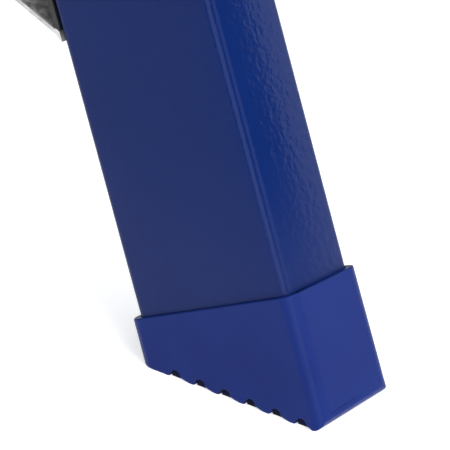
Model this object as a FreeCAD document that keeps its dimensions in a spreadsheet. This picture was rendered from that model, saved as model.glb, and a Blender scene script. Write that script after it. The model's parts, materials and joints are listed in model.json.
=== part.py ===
import FreeCAD, Part
import math
import os
import Sketcher
from FreeCAD import Placement, Rotation, Vector

# Half-metre diving board on its own steel stand: splayed tube legs in moulded feet, galvanised
# cross braces, two handrails, a hinged board and a geared fulcrum roller that a handwheel moves.
# Millimetres. X runs forward to the board's tip, Y to the diver's left, Z up from the deck.
# Pieces are placed from mid-stand first. The last section moves the whole to its own origin.

os.makedirs("parts", exist_ok=True)
doc = FreeCAD.newDocument("diving_board")

SIZES = [
    ("leg_wide", 60, "leg tube, fore and aft"),
    ("leg_narrow", 30, "leg tube, across"),
    ("leg_wall", 2, "leg tube wall"),
    ("leg_corner", 3, "leg tube outer corner radius"),
    ("leg_splay", 22.1, "degrees that a leg leans fore or aft"),
    ("leg_lean", 3.76, "degrees that a leg leans sideways"),
    ("leg_reach", 435, "mid-stand to a leg's axis under the rail"),
    ("rail_underside", 335, "deck to the side rail's underside"),
    ("rail_high", 60, "side rail tube, height"),
    ("rail_wide", 30, "side rail tube, width"),
    ("rail_wall", 2.5, "side rail tube wall"),
    ("rail_corner", 4, "side rail outer corner radius"),
    ("rail_long", 1060, "side rail length"),
    ("plug_lip", 3, "moulded plug's visible thickness"),
    ("plug_deep", 20, "moulded plug's length inside a tube"),
    ("plug_gap", 0.2, "moulded plug's clearance in a tube"),
    ("front_beam_wide", 40, "front crossbeam, fore and aft"),
    ("front_beam_reach", 440, "mid-stand to the front crossbeam"),
    ("tie_wide", 30, "lower front tie tube"),
    ("tie_rise", 205, "deck to the lower front tie's axis"),
    ("foot_wall", 1.5, "foot cap wall at its rim"),
    ("foot_gap", 0.2, "foot cap clearance on the leg"),
    ("foot_rim", 26.4, "rim height along the leg's axis"),
    ("foot_skirt", 40, "cap modelled this far below the axis' ground point"),
    ("foot_draft", 1.75, "degrees of fore-and-aft draft"),
    ("foot_flare", 0.3, "degrees of sideways draft"),
    ("foot_corner", 4.7, "foot cap corner radius"),
    ("sole_thick", 7, "sole under the leg's end"),
    ("spigot_tall", 14, "foot's plug inside the leg"),
    ("groove_count", 6, "grooves across a sole"),
    ("groove_pitch", 9.45, "sole groove spacing"),
    ("groove_first", 20.92, "axis' ground point to the innermost groove"),
    ("groove_round", 1.75, "sole groove radius"),
    ("groove_rise", 0.55, "sole groove centre above the deck"),
    ("brace_wide", 30, "brace channel width"),
    ("brace_deep", 13, "brace channel flange depth"),
    ("brace_sheet", 1.5, "brace sheet thickness"),
    ("brace_gap", 2, "side frame's middle plane to a brace's web"),
    ("brace_low", 92.5, "deck to the brace's lower edge at the leg"),
    ("brace_beyond", 105, "mid-stand to the brace's lower edge under the rail"),
    ("brace_lap", 26, "length of a brace's riveted tab"),
    ("brace_tab", 11, "width of a brace's riveted tab"),
    ("brace_pad", 3, "thickness of a brace's pad under the rail"),
    ("rivet_round", 2.4, "rivet shank radius"),
    ("step_deep", 120, "step tread, fore and aft"),
    ("step_sheet", 2.5, "step tread sheet thickness"),
    ("step_lip", 28, "step tread's turned-down edge"),
    ("step_cheek", 3, "step tread's end plate thickness"),
    ("step_lead", 18, "leg axis to the step's front edge"),
    ("low_step", 165, "deck to the lower step"),
    ("high_step", 327, "deck to the upper step"),
    ("grip_round", 4, "radius of a step's grip holes"),
    ("grip_pitch", 26, "spacing of a step's grip holes"),
    ("grip_rows", 4, "rows of grip holes"),
    ("grip_columns", 17, "grip holes in a row"),
    ("hoop_round", 19, "handrail tube radius"),
    ("hoop_wall", 2, "handrail tube wall"),
    ("hoop_bend", 120, "handrail bend radius on its axis"),
    ("hoop_top", 1210, "deck to the handrail's upper axis"),
    ("hoop_front", 60, "mid-stand back to the front post"),
    ("hoop_rear", 455, "mid-stand back to the rear post"),
    ("hoop_foot", 10, "rail underside to a post's lower end"),
    ("strap_thick", 4, "handrail strap thickness"),
    ("strap_high", 40, "handrail strap height"),
    ("strap_ear", 22, "handrail strap's flat ear"),
    ("anchor_sheet", 4, "anchor bracket's upright plate"),
    ("anchor_floor", 5, "anchor bracket's deck plate thickness"),
    ("anchor_pack", 4, "packing between anchor bracket and leg"),
    ("anchor_tall", 112, "anchor bracket height along the leg"),
    ("anchor_low_bolt", 67, "leg's ground point to the lower anchor bolt"),
    ("anchor_high_bolt", 98, "leg's ground point to the upper anchor bolt"),
    ("anchor_pack_low", 49, "leg's ground point to the packing, clear of the foot"),
    ("anchor_out", 73, "leg's ground point to the deck plate's edge"),
    ("anchor_hole_out", 48, "leg's ground point to the anchor hole"),
    ("anchor_hole_round", 7, "anchor hole radius"),
    ("board_long", 1830, "board length"),
    ("board_wide", 457, "board width"),
    ("board_thick", 45, "board thickness"),
    ("board_tail", 450, "mid-stand to the board's rear end"),
    ("board_corner", 60, "board tip corner radius"),
    ("tail_corner", 20, "board rear corner radius"),
    ("board_edge", 6, "board edge rounding"),
    ("board_gap", 2.5, "board edge to a fulcrum saddle"),
    ("grit_thick", 1.5, "board's gritted top layer"),
    ("grit_inset", 14, "gritted layer's margin"),
    ("pad_long", 330, "rubber wear pad under the board"),
    ("pad_wide", 410, "rubber wear pad, across"),
    ("pad_thick", 3, "rubber wear pad thickness"),
    ("pad_corner", 4, "rubber wear pad corner radius"),
    ("hinge_back", 395, "mid-stand to the hinge pins"),
    ("hinge_side", 150, "middle of the board to a hinge"),
    ("hinge_drop", 20, "board underside to the pins' axis"),
    ("hinge_pin_round", 8, "hinge pin radius"),
    ("hinge_eye_round", 15, "hinge leaf's eye, outer radius"),
    ("hinge_eye_wide", 24, "hinge leaf's eye, width"),
    ("ear_thick", 8, "hinge bracket's ear"),
    ("ear_round", 12, "hinge bracket's ear, outer radius"),
    ("ear_gap", 0.5, "hinge eye's side clearance"),
    ("leaf_long", 150, "hinge leaf plate, fore and aft"),
    ("leaf_wide", 90, "hinge leaf plate, across"),
    ("leaf_thick", 6, "hinge leaf plate thickness"),
    ("leaf_bolt_side", 16, "hinge leaf's side edge to its bolts"),
    ("leaf_bolt_rear", 36, "hinge leaf's rear edge to its rear bolts"),
    ("leaf_bolt_front", 20, "hinge leaf's front edge to its front bolts"),
    ("base_wide", 100, "hinge bracket's base, across"),
    ("base_thick", 6, "hinge bracket's base thickness"),
    ("base_bolt_side", 14, "hinge bracket's side edge to its bolts"),
    ("base_bolt_end", 16, "hinge bracket's end to its bolts"),
    ("pin_proud", 5, "hinge pin's length past an ear"),
    ("clip_rim", 3, "pin clip's width round the pin"),
    ("clip_thick", 2, "pin clip thickness"),
    ("hinge_beam_wide", 70, "hinge beam tube, fore and aft"),
    ("hinge_beam_wall", 3, "hinge beam tube wall"),
    ("shaft_ahead", 200, "mid-stand to the fulcrum shaft"),
    ("shaft_round", 10, "fulcrum shaft radius"),
    ("thread_round", 8, "shaft's threaded end radius"),
    ("gear_module", 3, "fulcrum pinion and rack module"),
    ("gear_teeth", 16, "fulcrum pinion teeth"),
    ("gear_face", 16, "fulcrum pinion width"),
    ("gear_backlash", 0.3, "thinning of a pinion tooth"),
    ("gear_angle", 20, "degrees of pressure angle"),
    ("rack_rise", 10, "rail top to the rack's pitch line"),
    ("rack_wide", 12, "rack width"),
    ("rack_tip", 2.7, "rack tooth height above its pitch line"),
    ("rack_root", 3.75, "rack tooth depth below its pitch line"),
    ("rack_spare", 20, "toothed length past each end of the travel"),
    ("rack_end", 16, "plain rack end that takes a screw"),
    ("travel", 120, "fulcrum travel each way"),
    ("saddle_long", 110, "fulcrum saddle length"),
    ("saddle_wall", 6, "fulcrum saddle wall"),
    ("saddle_gap", 3, "side rail to the saddle's inner wall"),
    ("saddle_skirt", 45, "saddle wall's reach below the rail top"),
    ("saddle_air", 3, "pinion to the saddle's roof"),
    ("shoe_long", 20, "guide shoe length"),
    ("shoe_gap", 0.3, "guide shoe clearance on rail and rack"),
    ("shoe_low", 3, "saddle's lower edge up to a guide shoe"),
    ("shoe_crown", 6, "guide shoe's thickness over the rack"),
    ("bush_wall", 3, "bush wall"),
    ("run_gap", 0.05, "radial running clearance"),
    ("roller_round", 32.7, "fulcrum roller radius over its rubber"),
    ("roller_rubber", 3, "roller sleeve thickness"),
    ("roller_wall", 4, "roller tube wall"),
    ("roller_hub", 12, "roller end hub width"),
    ("roller_end", 8, "roller end to the saddle"),
    ("roller_gap", 0.3, "roller to the wear pad"),
    ("collar_round", 16, "shaft collar radius"),
    ("collar_gap", 0.3, "shaft collar's end clearance"),
    ("collar_long", 10, "left outer collar's length"),
    ("shaft_left", 12, "left saddle to the shaft's end"),
    ("wheel_round", 120, "handwheel outer radius"),
    ("wheel_rim", 9, "handwheel rim section radius"),
    ("wheel_hub_round", 22, "handwheel hub radius"),
    ("wheel_hub_long", 22, "handwheel hub length"),
    ("wheel_gap", 4, "handrail to the handwheel's hub"),
    ("spoke_round", 6, "handwheel spoke radius"),
    ("spoke_count", 4, "handwheel spokes"),
    ("rod_round", 6, "fulcrum tie rod radius"),
    ("rod_reach", 46, "shaft to a fulcrum tie rod"),
    ("rod_rise", 8, "shaft height to a fulcrum tie rod"),
    ("hole_gap", 0.25, "radial clearance of a bolt hole"),
    ("bolt_round", 5, "frame bolt radius"),
    ("screw_round", 3, "rack screw radius"),
    ("bolt_proud", 2, "bolt or rod end past its nut"),
    ("tap_deep", 8, "screw end past a tapped wall"),
]

sheet = doc.addObject("Spreadsheet::Sheet", "dims")
for row, (alias, number, note) in enumerate(SIZES, start=1):
    sheet.set(f"A{row}", alias)
    sheet.set(f"B{row}", str(number))
    sheet.set(f"C{row}", note)
    sheet.setAlias(f"B{row}", alias)
doc.recompute()


# ---- heights and offsets that several pieces share, as expressions on the sheet ----

RAIL_TOP = "(dims.rail_underside + dims.rail_high)"
SHAFT_RISE = f"({RAIL_TOP} + dims.rack_rise + dims.gear_module * dims.gear_teeth / 2)"
BOARD_UNDER = f"({SHAFT_RISE} + dims.roller_round + dims.roller_gap + dims.pad_thick)"
SADDLE_IN = "(dims.board_wide / 2 + dims.board_gap + dims.saddle_wall)"
RAIL_SIDE = f"({SADDLE_IN} + dims.saddle_gap + dims.rail_wide / 2)"
SADDLE_OUT = f"({RAIL_SIDE} + dims.rail_wide / 2 + dims.saddle_gap + dims.saddle_wall)"
SADDLE_ROOF = f"({SHAFT_RISE} + dims.gear_module * (dims.gear_teeth + 2) / 2 + dims.saddle_air)"
HOOP_SIDE = f"({RAIL_SIDE} + dims.rail_wide / 2 + dims.hoop_round)"
HUB_START = f"({HOOP_SIDE} + dims.hoop_round + dims.wheel_gap)"
RACK_PITCH = f"({math.pi!r} * dims.gear_module)"
RACK_TEETH = f"ceil((dims.travel + dims.rack_spare) / {RACK_PITCH})"
RACK_HALF = f"({RACK_PITCH} * ({RACK_TEETH} + 0.5) + dims.rack_end)"
ROLLER_HALF = f"({SADDLE_IN} - dims.saddle_wall - dims.roller_end)"


def size(expression):
    """The number that an expression on the sheet gives now."""
    return float(sheet.evalExpression(str(expression)))


rail_top = size(RAIL_TOP)
rail_side = size(RAIL_SIDE)
shaft_rise = size(SHAFT_RISE)
shaft_ahead = size("dims.shaft_ahead")
board_under = size(BOARD_UNDER)
under = size("dims.rail_underside")
splay = math.radians(size("dims.leg_splay"))
lean = math.radians(size("dims.leg_lean"))
leg_drop = under / (math.cos(splay) * math.cos(lean))
ground_reach = size("dims.leg_reach") + under * math.tan(splay) / math.cos(lean)
ground_side = rail_side + under * math.tan(lean)
FRONT, REAR, RIGHT, LEFT = 1, -1, -1, 1
END_NAME = {FRONT: "front", REAR: "rear"}
SIDE_NAME = {RIGHT: "right", LEFT: "left"}
X_AXIS, Y_AXIS, Z_AXIS = Vector(1, 0, 0), Vector(0, 1, 0), Vector(0, 0, 1)
STILL = Placement()
FAR = 3000
ONE_WALL, THICK_PLATE, THROUGH = 10, 20, 60    # how deep a hole is drilled from its seat
HEAD_WIDE, HEAD_TALL, NUT_TALL = 1.8, 1.2, 1.4    # hexagon sizes as shares of the thread's radius
FLANK_POINTS = 7


# ---- small makers ----

def bind(thing, **expressions):
    """Tie properties of an object to expressions on the sheet."""
    for name, expression in expressions.items():
        thing.setExpression(name, str(expression))
    return thing


def at(x=0, y=0, z=0, axis=Z_AXIS, angle=0):
    """A place, with an optional turn about one axis."""
    return Placement(Vector(x, y, z), Rotation(axis, angle))


def box(name, long, wide, high, place=STILL):
    """A block centred on its place in X and Y, standing on it in Z."""
    block = doc.addObject("Part::Box", name)
    bind(block, Length=long, Width=wide, Height=high)
    block.Placement = place * at(-size(long) / 2, -size(wide) / 2)
    return block


def rod(name, radius, long, place=STILL):
    """A cylinder that stands on its place along Z."""
    bar = doc.addObject("Part::Cylinder", name)
    bind(bar, Radius=radius, Height=long)
    bar.Placement = place
    return bar


def hexagon(name, radius, high, place=STILL):
    """A hexagonal prism that stands on its place along Z."""
    prism = doc.addObject("Part::Prism", name)
    bind(prism, Circumradius=radius, Height=high)
    prism.Placement = place
    return prism


def group(name, members):
    """Several separate solids as one sub-part."""
    bundle = doc.addObject("Part::Compound", name)
    bundle.Links = members
    return bundle


def cut(name, base, tools):
    """The base less every tool."""
    result = doc.addObject("Part::Cut", name)
    result.Base = base
    result.Tool = tools[0] if len(tools) == 1 else group(f"{name}_tools", tools)
    return result


def common(name, base, tool):
    """What two solids share."""
    result = doc.addObject("Part::Common", name)
    result.Base = base
    result.Tool = tool
    return result


def fuse(name, members):
    """Members welded or cast as one."""
    result = doc.addObject("Part::MultiFuse", name)
    result.Shapes = members
    result.Refine = True
    return result


def copies(name, pattern, places):
    """The same fastener or small piece at each place, as separate solids."""
    links = []
    for number, place in enumerate(places):
        link = doc.addObject("App::Link", f"{name}_{number}")
        link.LinkedObject = pattern
        link.LinkTransform = True
        link.Placement = place
        links.append(link)
    return group(name, links)


def band(name, frame, low, high):
    """All space between two heights above the deck, in the terms of a leaning frame."""
    block = box(name, FAR, FAR, high - low)
    block.Placement = frame.inverse() * at(0, 0, low) * at(-FAR / 2, -FAR / 2)
    return block


def beyond(name, frame, along, start):
    """All space past a start value along +/-X or +/-Y of a frame, as a box in that frame."""
    block = box(name, FAR, FAR, FAR)
    shift = along * (start + FAR / 2)
    block.Placement = frame * at(*shift) * at(-FAR / 2, -FAR / 2, -FAR / 2)
    return block


def drilled(name, solid, frame, seats, radius="dims.bolt_round", deep=THROUGH):
    """The solid with a clearance hole along each fastener's axis."""
    holes = []
    for number, seat in enumerate(seats):
        place = frame.inverse() * seat * at(0, 0, -deep)
        holes.append(rod(f"{name}_hole_{number}", f"{radius} + dims.hole_gap", 2 * deep, place))
    return cut(name, solid, holes)


def new_body(name):
    return doc.addObject("PartDesign::Body", name)


def new_sketch(body, role, name, lift=0):
    """A sketch on one of the body's own planes, lifted along that plane's normal."""
    plane = next(item for item in body.Origin.OriginFeatures if item.Role == role)
    sketch = body.newObject("Sketcher::SketchObject", name)
    sketch.AttachmentSupport = [(plane, "")]
    sketch.MapMode = "FlatFace"
    sketch.AttachmentOffset = at(0, 0, lift)
    return sketch


def constrain(sketch, name, constraint, expression):
    """Add a named dimension tied to the sheet."""
    index = sketch.addConstraint(constraint)
    sketch.renameConstraint(index, name)
    sketch.setExpression(f"Constraints.{name}", str(expression))


def rounded(sketch, tag, wide, high, corner):
    """A rectangle with round corners, centred on the sketch's origin."""
    half_x, half_y, radius = size(wide) / 2, size(high) / 2, size(corner)
    flat_x, flat_y = half_x - radius, half_y - radius
    first = sketch.GeometryCount
    corners = [
        ((-flat_x, -half_y), (flat_x, -half_y), (flat_x, -flat_y), 270),
        ((half_x, -flat_y), (half_x, flat_y), (flat_x, flat_y), 0),
        ((flat_x, half_y), (-flat_x, half_y), (-flat_x, flat_y), 90),
        ((-half_x, flat_y), (-half_x, -flat_y), (-flat_x, -flat_y), 180),
    ]
    for start, end, centre, angle in corners:
        sketch.addGeometry(Part.LineSegment(Vector(*start), Vector(*end)), False)
        circle = Part.Circle(Vector(*centre), Z_AXIS, radius)
        turn = math.radians(angle)
        sketch.addGeometry(Part.ArcOfCircle(circle, turn, turn + math.pi / 2), False)
    edge = [first + step for step in range(8)]
    for step in range(8):
        following = edge[(step + 1) % 8]
        sketch.addConstraint(Sketcher.Constraint("Tangent", edge[step], 2, following, 1))
    sketch.addConstraint(Sketcher.Constraint("Horizontal", edge[0]))
    sketch.addConstraint(Sketcher.Constraint("Horizontal", edge[4]))
    sketch.addConstraint(Sketcher.Constraint("Vertical", edge[2]))
    sketch.addConstraint(Sketcher.Constraint("Vertical", edge[6]))
    for step in (3, 5, 7):
        sketch.addConstraint(Sketcher.Constraint("Equal", edge[1], edge[step]))
    sketch.addConstraint(Sketcher.Constraint("Symmetric", edge[0], 1, edge[4], 1, -1, 1))
    width = Sketcher.Constraint("DistanceX", edge[6], 1, edge[2], 1, 2 * half_x)
    height = Sketcher.Constraint("DistanceY", edge[0], 1, edge[4], 1, 2 * half_y)
    constrain(sketch, f"{tag}_width", width, wide)
    constrain(sketch, f"{tag}_height", height, high)
    constrain(sketch, f"{tag}_corner", Sketcher.Constraint("Radius", edge[1], radius), corner)


def outline(sketch, points):
    """A closed run of straight edges through points given as pairs of expressions."""
    spots = [Vector(size(x), size(y), 0) for x, y in points]
    first = sketch.GeometryCount
    for start, end in zip(spots, spots[1:] + spots[:1]):
        sketch.addGeometry(Part.LineSegment(start, end), False)
    count = len(points)
    for step, (x, y) in enumerate(points):
        edge = first + step
        following = first + (step + 1) % count
        sketch.addConstraint(Sketcher.Constraint("Coincident", edge, 2, following, 1))
        across = Sketcher.Constraint("DistanceX", -1, 1, edge, 1, spots[step].x)
        along = Sketcher.Constraint("DistanceY", -1, 1, edge, 1, spots[step].y)
        constrain(sketch, f"x{first}_{step}", across, x)
        constrain(sketch, f"y{first}_{step}", along, y)


def ring(sketch, radius, tag):
    """A circle about the sketch's origin."""
    index = sketch.GeometryCount
    sketch.addGeometry(Part.Circle(Vector(0, 0, 0), Z_AXIS, size(radius)), False)
    sketch.addConstraint(Sketcher.Constraint("Coincident", index, 3, -1, 1))
    constrain(sketch, tag, Sketcher.Constraint("Radius", index, size(radius)), radius)


def pad(body, sketch, long, both=True):
    """Thicken a sketch, to both sides of its plane or to one."""
    feature = body.newObject("PartDesign::Pad", f"{sketch.Name}_pad")
    feature.Profile = sketch
    feature.SideType = "Symmetric" if both else "One side"
    bind(feature, Length=long)
    return feature


def tube(name, plane, wide, high, wall, corner, long):
    """A rounded rectangular tube, its length centred on the plane."""
    body = new_body(name)
    section = new_sketch(body, plane, f"{name}_section")
    rounded(section, "outer", wide, high, corner)
    rounded(section, "inner", f"{wide} - 2 * {wall}", f"{high} - 2 * {wall}", f"{corner} - {wall}")
    pad(body, section, long)
    return body


def prism(name, plane, wide, high, corner, long):
    """A solid rounded rectangular bar, its length centred on the plane."""
    body = new_body(name)
    section = new_sketch(body, plane, f"{name}_section")
    rounded(section, "outer", wide, high, corner)
    pad(body, section, long)
    return body


NODES = {}


def node(label, solid, place=STILL):
    """Keep a finished sub-part under its own name, with its place from mid-stand."""
    solid.Label = label
    NODES[label] = (solid, place)


# ---- fasteners ----

def bolt(name, radius, grip, head=HEAD_WIDE, cap=HEAD_TALL):
    """A hexagon bolt: its head stands on the seat and its shank runs down from it."""
    shank = rod(f"{name}_shank", radius, grip, at(0, 0, -size(grip)))
    return fuse(name, [hexagon(f"{name}_head", f"{head} * {radius}", f"{cap} * {radius}"), shank])


def nut(name, radius, place=STILL):
    """A hexagon nut whose near face is the seat, with its bore as big as the shank."""
    blank = hexagon(f"{name}_blank", f"{HEAD_WIDE} * {radius}", f"{NUT_TALL} * {radius}", place)
    return cut(name, blank, [rod(f"{name}_bore", radius, FAR, at(0, 0, -FAR / 2))])


turned = at(0, 0, 0, X_AXIS, 180)


def bolted(name, radius, grip, seats, head=HEAD_WIDE, cap=HEAD_TALL):
    """Through bolts at the seats, each with a nut at the far end of its grip."""
    pattern = bolt(f"{name}_bolt", radius, f"{grip} + {NUT_TALL} * {radius} + dims.bolt_proud", head, cap)
    far_seats = [seat * at(0, 0, -size(grip)) * turned for seat in seats]
    return group(f"{name}_set", [copies(f"{name}_bolts", pattern, seats),
                                 copies(f"{name}_nuts", nut(f"{name}_nut", radius), far_seats)])


def rivet(name, grip):
    """A blind rivet: a low cone head on the seat, with its shank running down."""
    head = doc.addObject("Part::Cone", f"{name}_head")
    bind(head, Radius1="2 * dims.rivet_round", Radius2="1.2 * dims.rivet_round",
         Height="0.7 * dims.rivet_round")
    shank = rod(f"{name}_shank", "dims.rivet_round", grip, at(0, 0, -size(grip)))
    return fuse(name, [head, shank])


# ---- where the leaning side frames, legs and feet stand ----

def side_frame(side):
    """One side's leaning plane: X along the stand, Z up the lean, origin under the side rail."""
    return at(0, side * rail_side, under, X_AXIS, side * size("dims.leg_lean"))


def leg_frame(end, side):
    """A leg's axis as Z, its origin where it meets the side rail."""
    return side_frame(side) * at(end * size("dims.leg_reach"), 0, 0, Y_AXIS, -end * size("dims.leg_splay"))


def foot_frame(end, side):
    """A leg's axis as Z, its origin where that axis meets the deck."""
    return leg_frame(end, side) * at(0, 0, -leg_drop)


def lean_side(height):
    """How far from the middle a leg's axis stands at a height above the deck."""
    return rail_side + (under - height) * math.tan(lean)


def lean_reach(height):
    """How far from mid-stand a leg's axis stands at a height above the deck."""
    return size("dims.leg_reach") + (under - height) * math.tan(splay) / math.cos(lean)


# ---- braces: their slope follows from where they meet the leg and the rail ----

leg_half = size("dims.leg_wide / 2")
brace_fall = (under - size("dims.brace_low")) / math.cos(lean)
brace_foot = size("dims.leg_reach") - leg_half / math.cos(splay) + brace_fall * math.tan(splay)
brace_slope = math.atan2(brace_fall, brace_foot + size("dims.brace_beyond"))
brace_start = (brace_foot - size("dims.leg_reach")) * math.sin(splay) + brace_fall * math.cos(splay)
brace_span = size("dims.brace_wide") / math.cos(splay + brace_slope)


def brace_frame(end, side):
    """A brace's lower edge as X, its origin at the leg's inner face."""
    turn = end * math.degrees(brace_slope)
    return side_frame(side) * at(end * brace_foot, 0, -brace_fall, Y_AXIS, turn)


def brace_out(end, side):
    """The way a brace's flanges point: outward on the front legs' braces, inward on the rear."""
    return end * side


def leg_rivet_seat(end, side):
    """The rivet through a brace's tab on the leg's inner face, above the channel."""
    mid = brace_out(end, side) * size("dims.brace_gap + dims.brace_tab / 2")
    up = brace_span - brace_start + size("dims.brace_lap") / 2
    inward = at(-end * (leg_half + size("dims.brace_sheet")), mid, up, Y_AXIS, -end * 90)
    return leg_frame(end, side) * inward


def rail_rivet_seat(end, side):
    """The rivet up through a brace's pad into the rail's underside."""
    mid = brace_out(end, side) * (size("dims.brace_gap") + size("dims.rail_wide") / 2) / 2
    back = -end * (size("dims.brace_beyond") + size("dims.brace_lap") / 2)
    return at(back, side * rail_side + mid, under - size("dims.brace_pad"), X_AXIS, 180)


def cross_seat(side):
    """The bolt through both braces where they cross at mid-stand, its head on the outer web."""
    rise = -brace_fall + brace_foot * math.tan(brace_slope)
    rise += size("dims.brace_wide") / 2 / math.cos(brace_slope)
    out = side * (size("dims.brace_gap") + size("dims.brace_sheet"))
    return side_frame(side) * at(0, out, rise, X_AXIS, -side * 90)


CORNERS = [(end, side) for end in (FRONT, REAR) for side in (RIGHT, LEFT)]
SIDES = (RIGHT, LEFT)


# ---- steps: tread positions and their bolts into the rear legs ----

def step_seats(height, side):
    """Bolts from a tread's end plate outward through the rear leg."""
    drop = size("dims.step_lip") / 2
    reach = lean_reach(height - drop)
    inner = -side * (size("dims.leg_narrow") / 2 + size("dims.step_cheek"))
    fall = (height - drop - under) / math.cos(lean)
    shift = size("dims.leg_wide") / 5
    return [
        side_frame(side) * at(-reach + step, inner, fall, X_AXIS, side * 90)
        for step in (-shift, shift)
    ]


STEPS = {"lower": size("dims.low_step"), "upper": size("dims.high_step")}


def anchor_seats(side):
    """Bolts from outside through the anchor bracket, its packing and the rear leg."""
    out = size("dims.leg_narrow / 2 + dims.anchor_pack + dims.anchor_sheet")
    rises = (size("dims.anchor_low_bolt"), size("dims.anchor_high_bolt"))
    return [foot_frame(REAR, side) * at(0, side * out, rise, X_AXIS, -side * 90) for rise in rises]


# ---- legs ----

for end, side in CORNERS:
    label = f"leg_{END_NAME[end]}_{SIDE_NAME[side]}"
    frame = leg_frame(end, side)
    blank = tube(f"{label}_tube", "XY_Plane", "dims.leg_wide", "dims.leg_narrow", "dims.leg_wall",
                 "dims.leg_corner", "2.5 * dims.rail_underside")
    trimmed = common(f"{label}_trim", blank, band(f"{label}_band", frame, size("dims.sole_thick"), under))
    leg = drilled(f"{label}_riveted", trimmed, frame, [leg_rivet_seat(end, side)], "dims.rivet_round",
                  ONE_WALL)
    if end == REAR:
        seats = [seat for height in STEPS.values() for seat in step_seats(height, side)]
        leg = drilled(f"{label}_bolted", leg, frame, seats + anchor_seats(side))
    node(label, leg, frame)


# ---- feet: slip-on caps with a sole cut level with the deck and grooved across ----

for end, side in CORNERS:
    label = f"foot_{END_NAME[end]}_{SIDE_NAME[side]}"
    frame = foot_frame(end, side)
    level = frame.inverse() * at(end * ground_reach, side * ground_side)
    shell = new_body(f"{label}_shell")
    growth = "(dims.foot_rim + dims.foot_skirt)"
    wide = "dims.leg_wide + 2 * (dims.foot_wall + dims.foot_gap)"
    narrow = "dims.leg_narrow + 2 * (dims.foot_wall + dims.foot_gap)"
    rim = new_sketch(shell, "XY_Plane", f"{label}_rim", size("dims.foot_rim"))
    rounded(rim, "outer", wide, narrow, "dims.foot_corner")
    base = new_sketch(shell, "XY_Plane", f"{label}_base", -size("dims.foot_skirt"))
    rounded(base, "outer", f"{wide} + 2 * {growth} * tan(dims.foot_draft)",
            f"{narrow} + 2 * {growth} * tan(dims.foot_flare)", "dims.foot_corner")
    loft = shell.newObject("PartDesign::AdditiveLoft", f"{label}_loft")
    loft.Profile = rim
    loft.Sections = [base]
    standing = common(f"{label}_standing", shell, band(f"{label}_air", frame, 0, FAR))
    socket = prism(f"{label}_socket", "XY_Plane", "dims.leg_wide + 2 * dims.foot_gap",
                   "dims.leg_narrow + 2 * dims.foot_gap", "dims.leg_corner + dims.foot_gap",
                   "2 * dims.rail_underside")
    above = band(f"{label}_above", frame, size("dims.sole_thick"), FAR)
    spigot = prism(f"{label}_spigot", "XY_Plane", "dims.leg_wide - 2 * dims.leg_wall - 2 * dims.foot_gap",
                   "dims.leg_narrow - 2 * dims.leg_wall - 2 * dims.foot_gap",
                   "dims.leg_corner - dims.leg_wall", "2 * dims.rail_underside")
    tall = band(f"{label}_tall", frame, 0, size("dims.sole_thick + dims.spigot_tall"))
    kept = common(f"{label}_kept", spigot, tall)
    hollow = cut(f"{label}_hollow", common(f"{label}_inside", socket, above), [kept])
    grooves = []
    for number in range(int(size("dims.groove_count"))):
        along = end * (number * size("dims.groove_pitch") - size("dims.groove_first"))
        place = level * at(along, -FAR / 2, size("dims.groove_rise"), X_AXIS, -90)
        grooves.append(rod(f"{label}_groove_{number}", "dims.groove_round", FAR, place))
    node(label, cut(f"{label}_cap", standing, [hollow] + grooves), frame)


# ---- side rails and their end plugs ----

def strap_seats(side):
    """Bolts through the ears of the handrail straps into the rail's outer face."""
    face = side * size(f"{RAIL_SIDE} + dims.rail_wide / 2 + dims.strap_thick")
    out = size("dims.hoop_round + dims.strap_thick + dims.strap_ear / 2")
    rise = under + size("dims.rail_high") / 2
    posts = (-size("dims.hoop_front"), -size("dims.hoop_rear"))
    return [at(post + turn * out, face, rise, X_AXIS, -side * 90) for post in posts for turn in (-1, 1)]


def rack_seats(side):
    """Countersunk screws down through the rack's ends into the rail top."""
    reach = size(f"{RACK_HALF} - dims.rack_end / 2")
    rise = rail_top + size("dims.rack_rise - dims.rack_root")
    return [at(shaft_ahead + turn * reach, side * rail_side, rise) for turn in (-1, 1)]


for side in SIDES:
    label = f"side_rail_{SIDE_NAME[side]}"
    frame = at(0, side * rail_side, under + size("dims.rail_high") / 2)
    blank = tube(f"{label}_tube", "YZ_Plane", "dims.rail_wide", "dims.rail_high", "dims.rail_wall",
                 "dims.rail_corner", "dims.rail_long")
    rivets = [rail_rivet_seat(end, side) for end in (FRONT, REAR)]
    rail = drilled(f"{label}_riveted", blank, frame, rivets, "dims.rivet_round", ONE_WALL)
    rail = drilled(f"{label}_strapped", rail, frame, strap_seats(side), deep=THICK_PLATE)
    rail = drilled(f"{label}_racked", rail, frame, rack_seats(side), "dims.screw_round", THICK_PLATE)
    node(label, rail, frame)

plugs = []
for end, side in CORNERS:
    name = f"rail_plug_{END_NAME[end]}_{SIDE_NAME[side]}"
    place = at(end * size("dims.rail_long") / 2, side * rail_side, under + size("dims.rail_high") / 2)
    lip = prism(f"{name}_lip", "YZ_Plane", "dims.rail_wide", "dims.rail_high", "dims.rail_corner",
                "dims.plug_lip")
    lip.Placement = place * at(end * size("dims.plug_lip") / 2)
    core = prism(f"{name}_core", "YZ_Plane", "dims.rail_wide - 2 * dims.rail_wall - 2 * dims.plug_gap",
                 "dims.rail_high - 2 * dims.rail_wall - 2 * dims.plug_gap",
                 "dims.rail_corner - dims.rail_wall", "dims.plug_deep")
    core.Placement = place * at(-end * size("dims.plug_deep") / 2)
    plugs.append(fuse(name, [lip, core]))
node("rail_end_plugs", group("rail_plug_set", plugs))


# ---- crossbeams, and the tie between the front legs ----

between_rails = f"2 * ({RAIL_SIDE} - dims.rail_wide / 2)"
node("front_crossbeam",
     tube("front_beam_tube", "XZ_Plane", "dims.front_beam_wide", "dims.rail_high", "dims.rail_wall",
          "dims.rail_corner", between_rails),
     at(size("dims.front_beam_reach"), 0, under + size("dims.rail_high") / 2))


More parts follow.
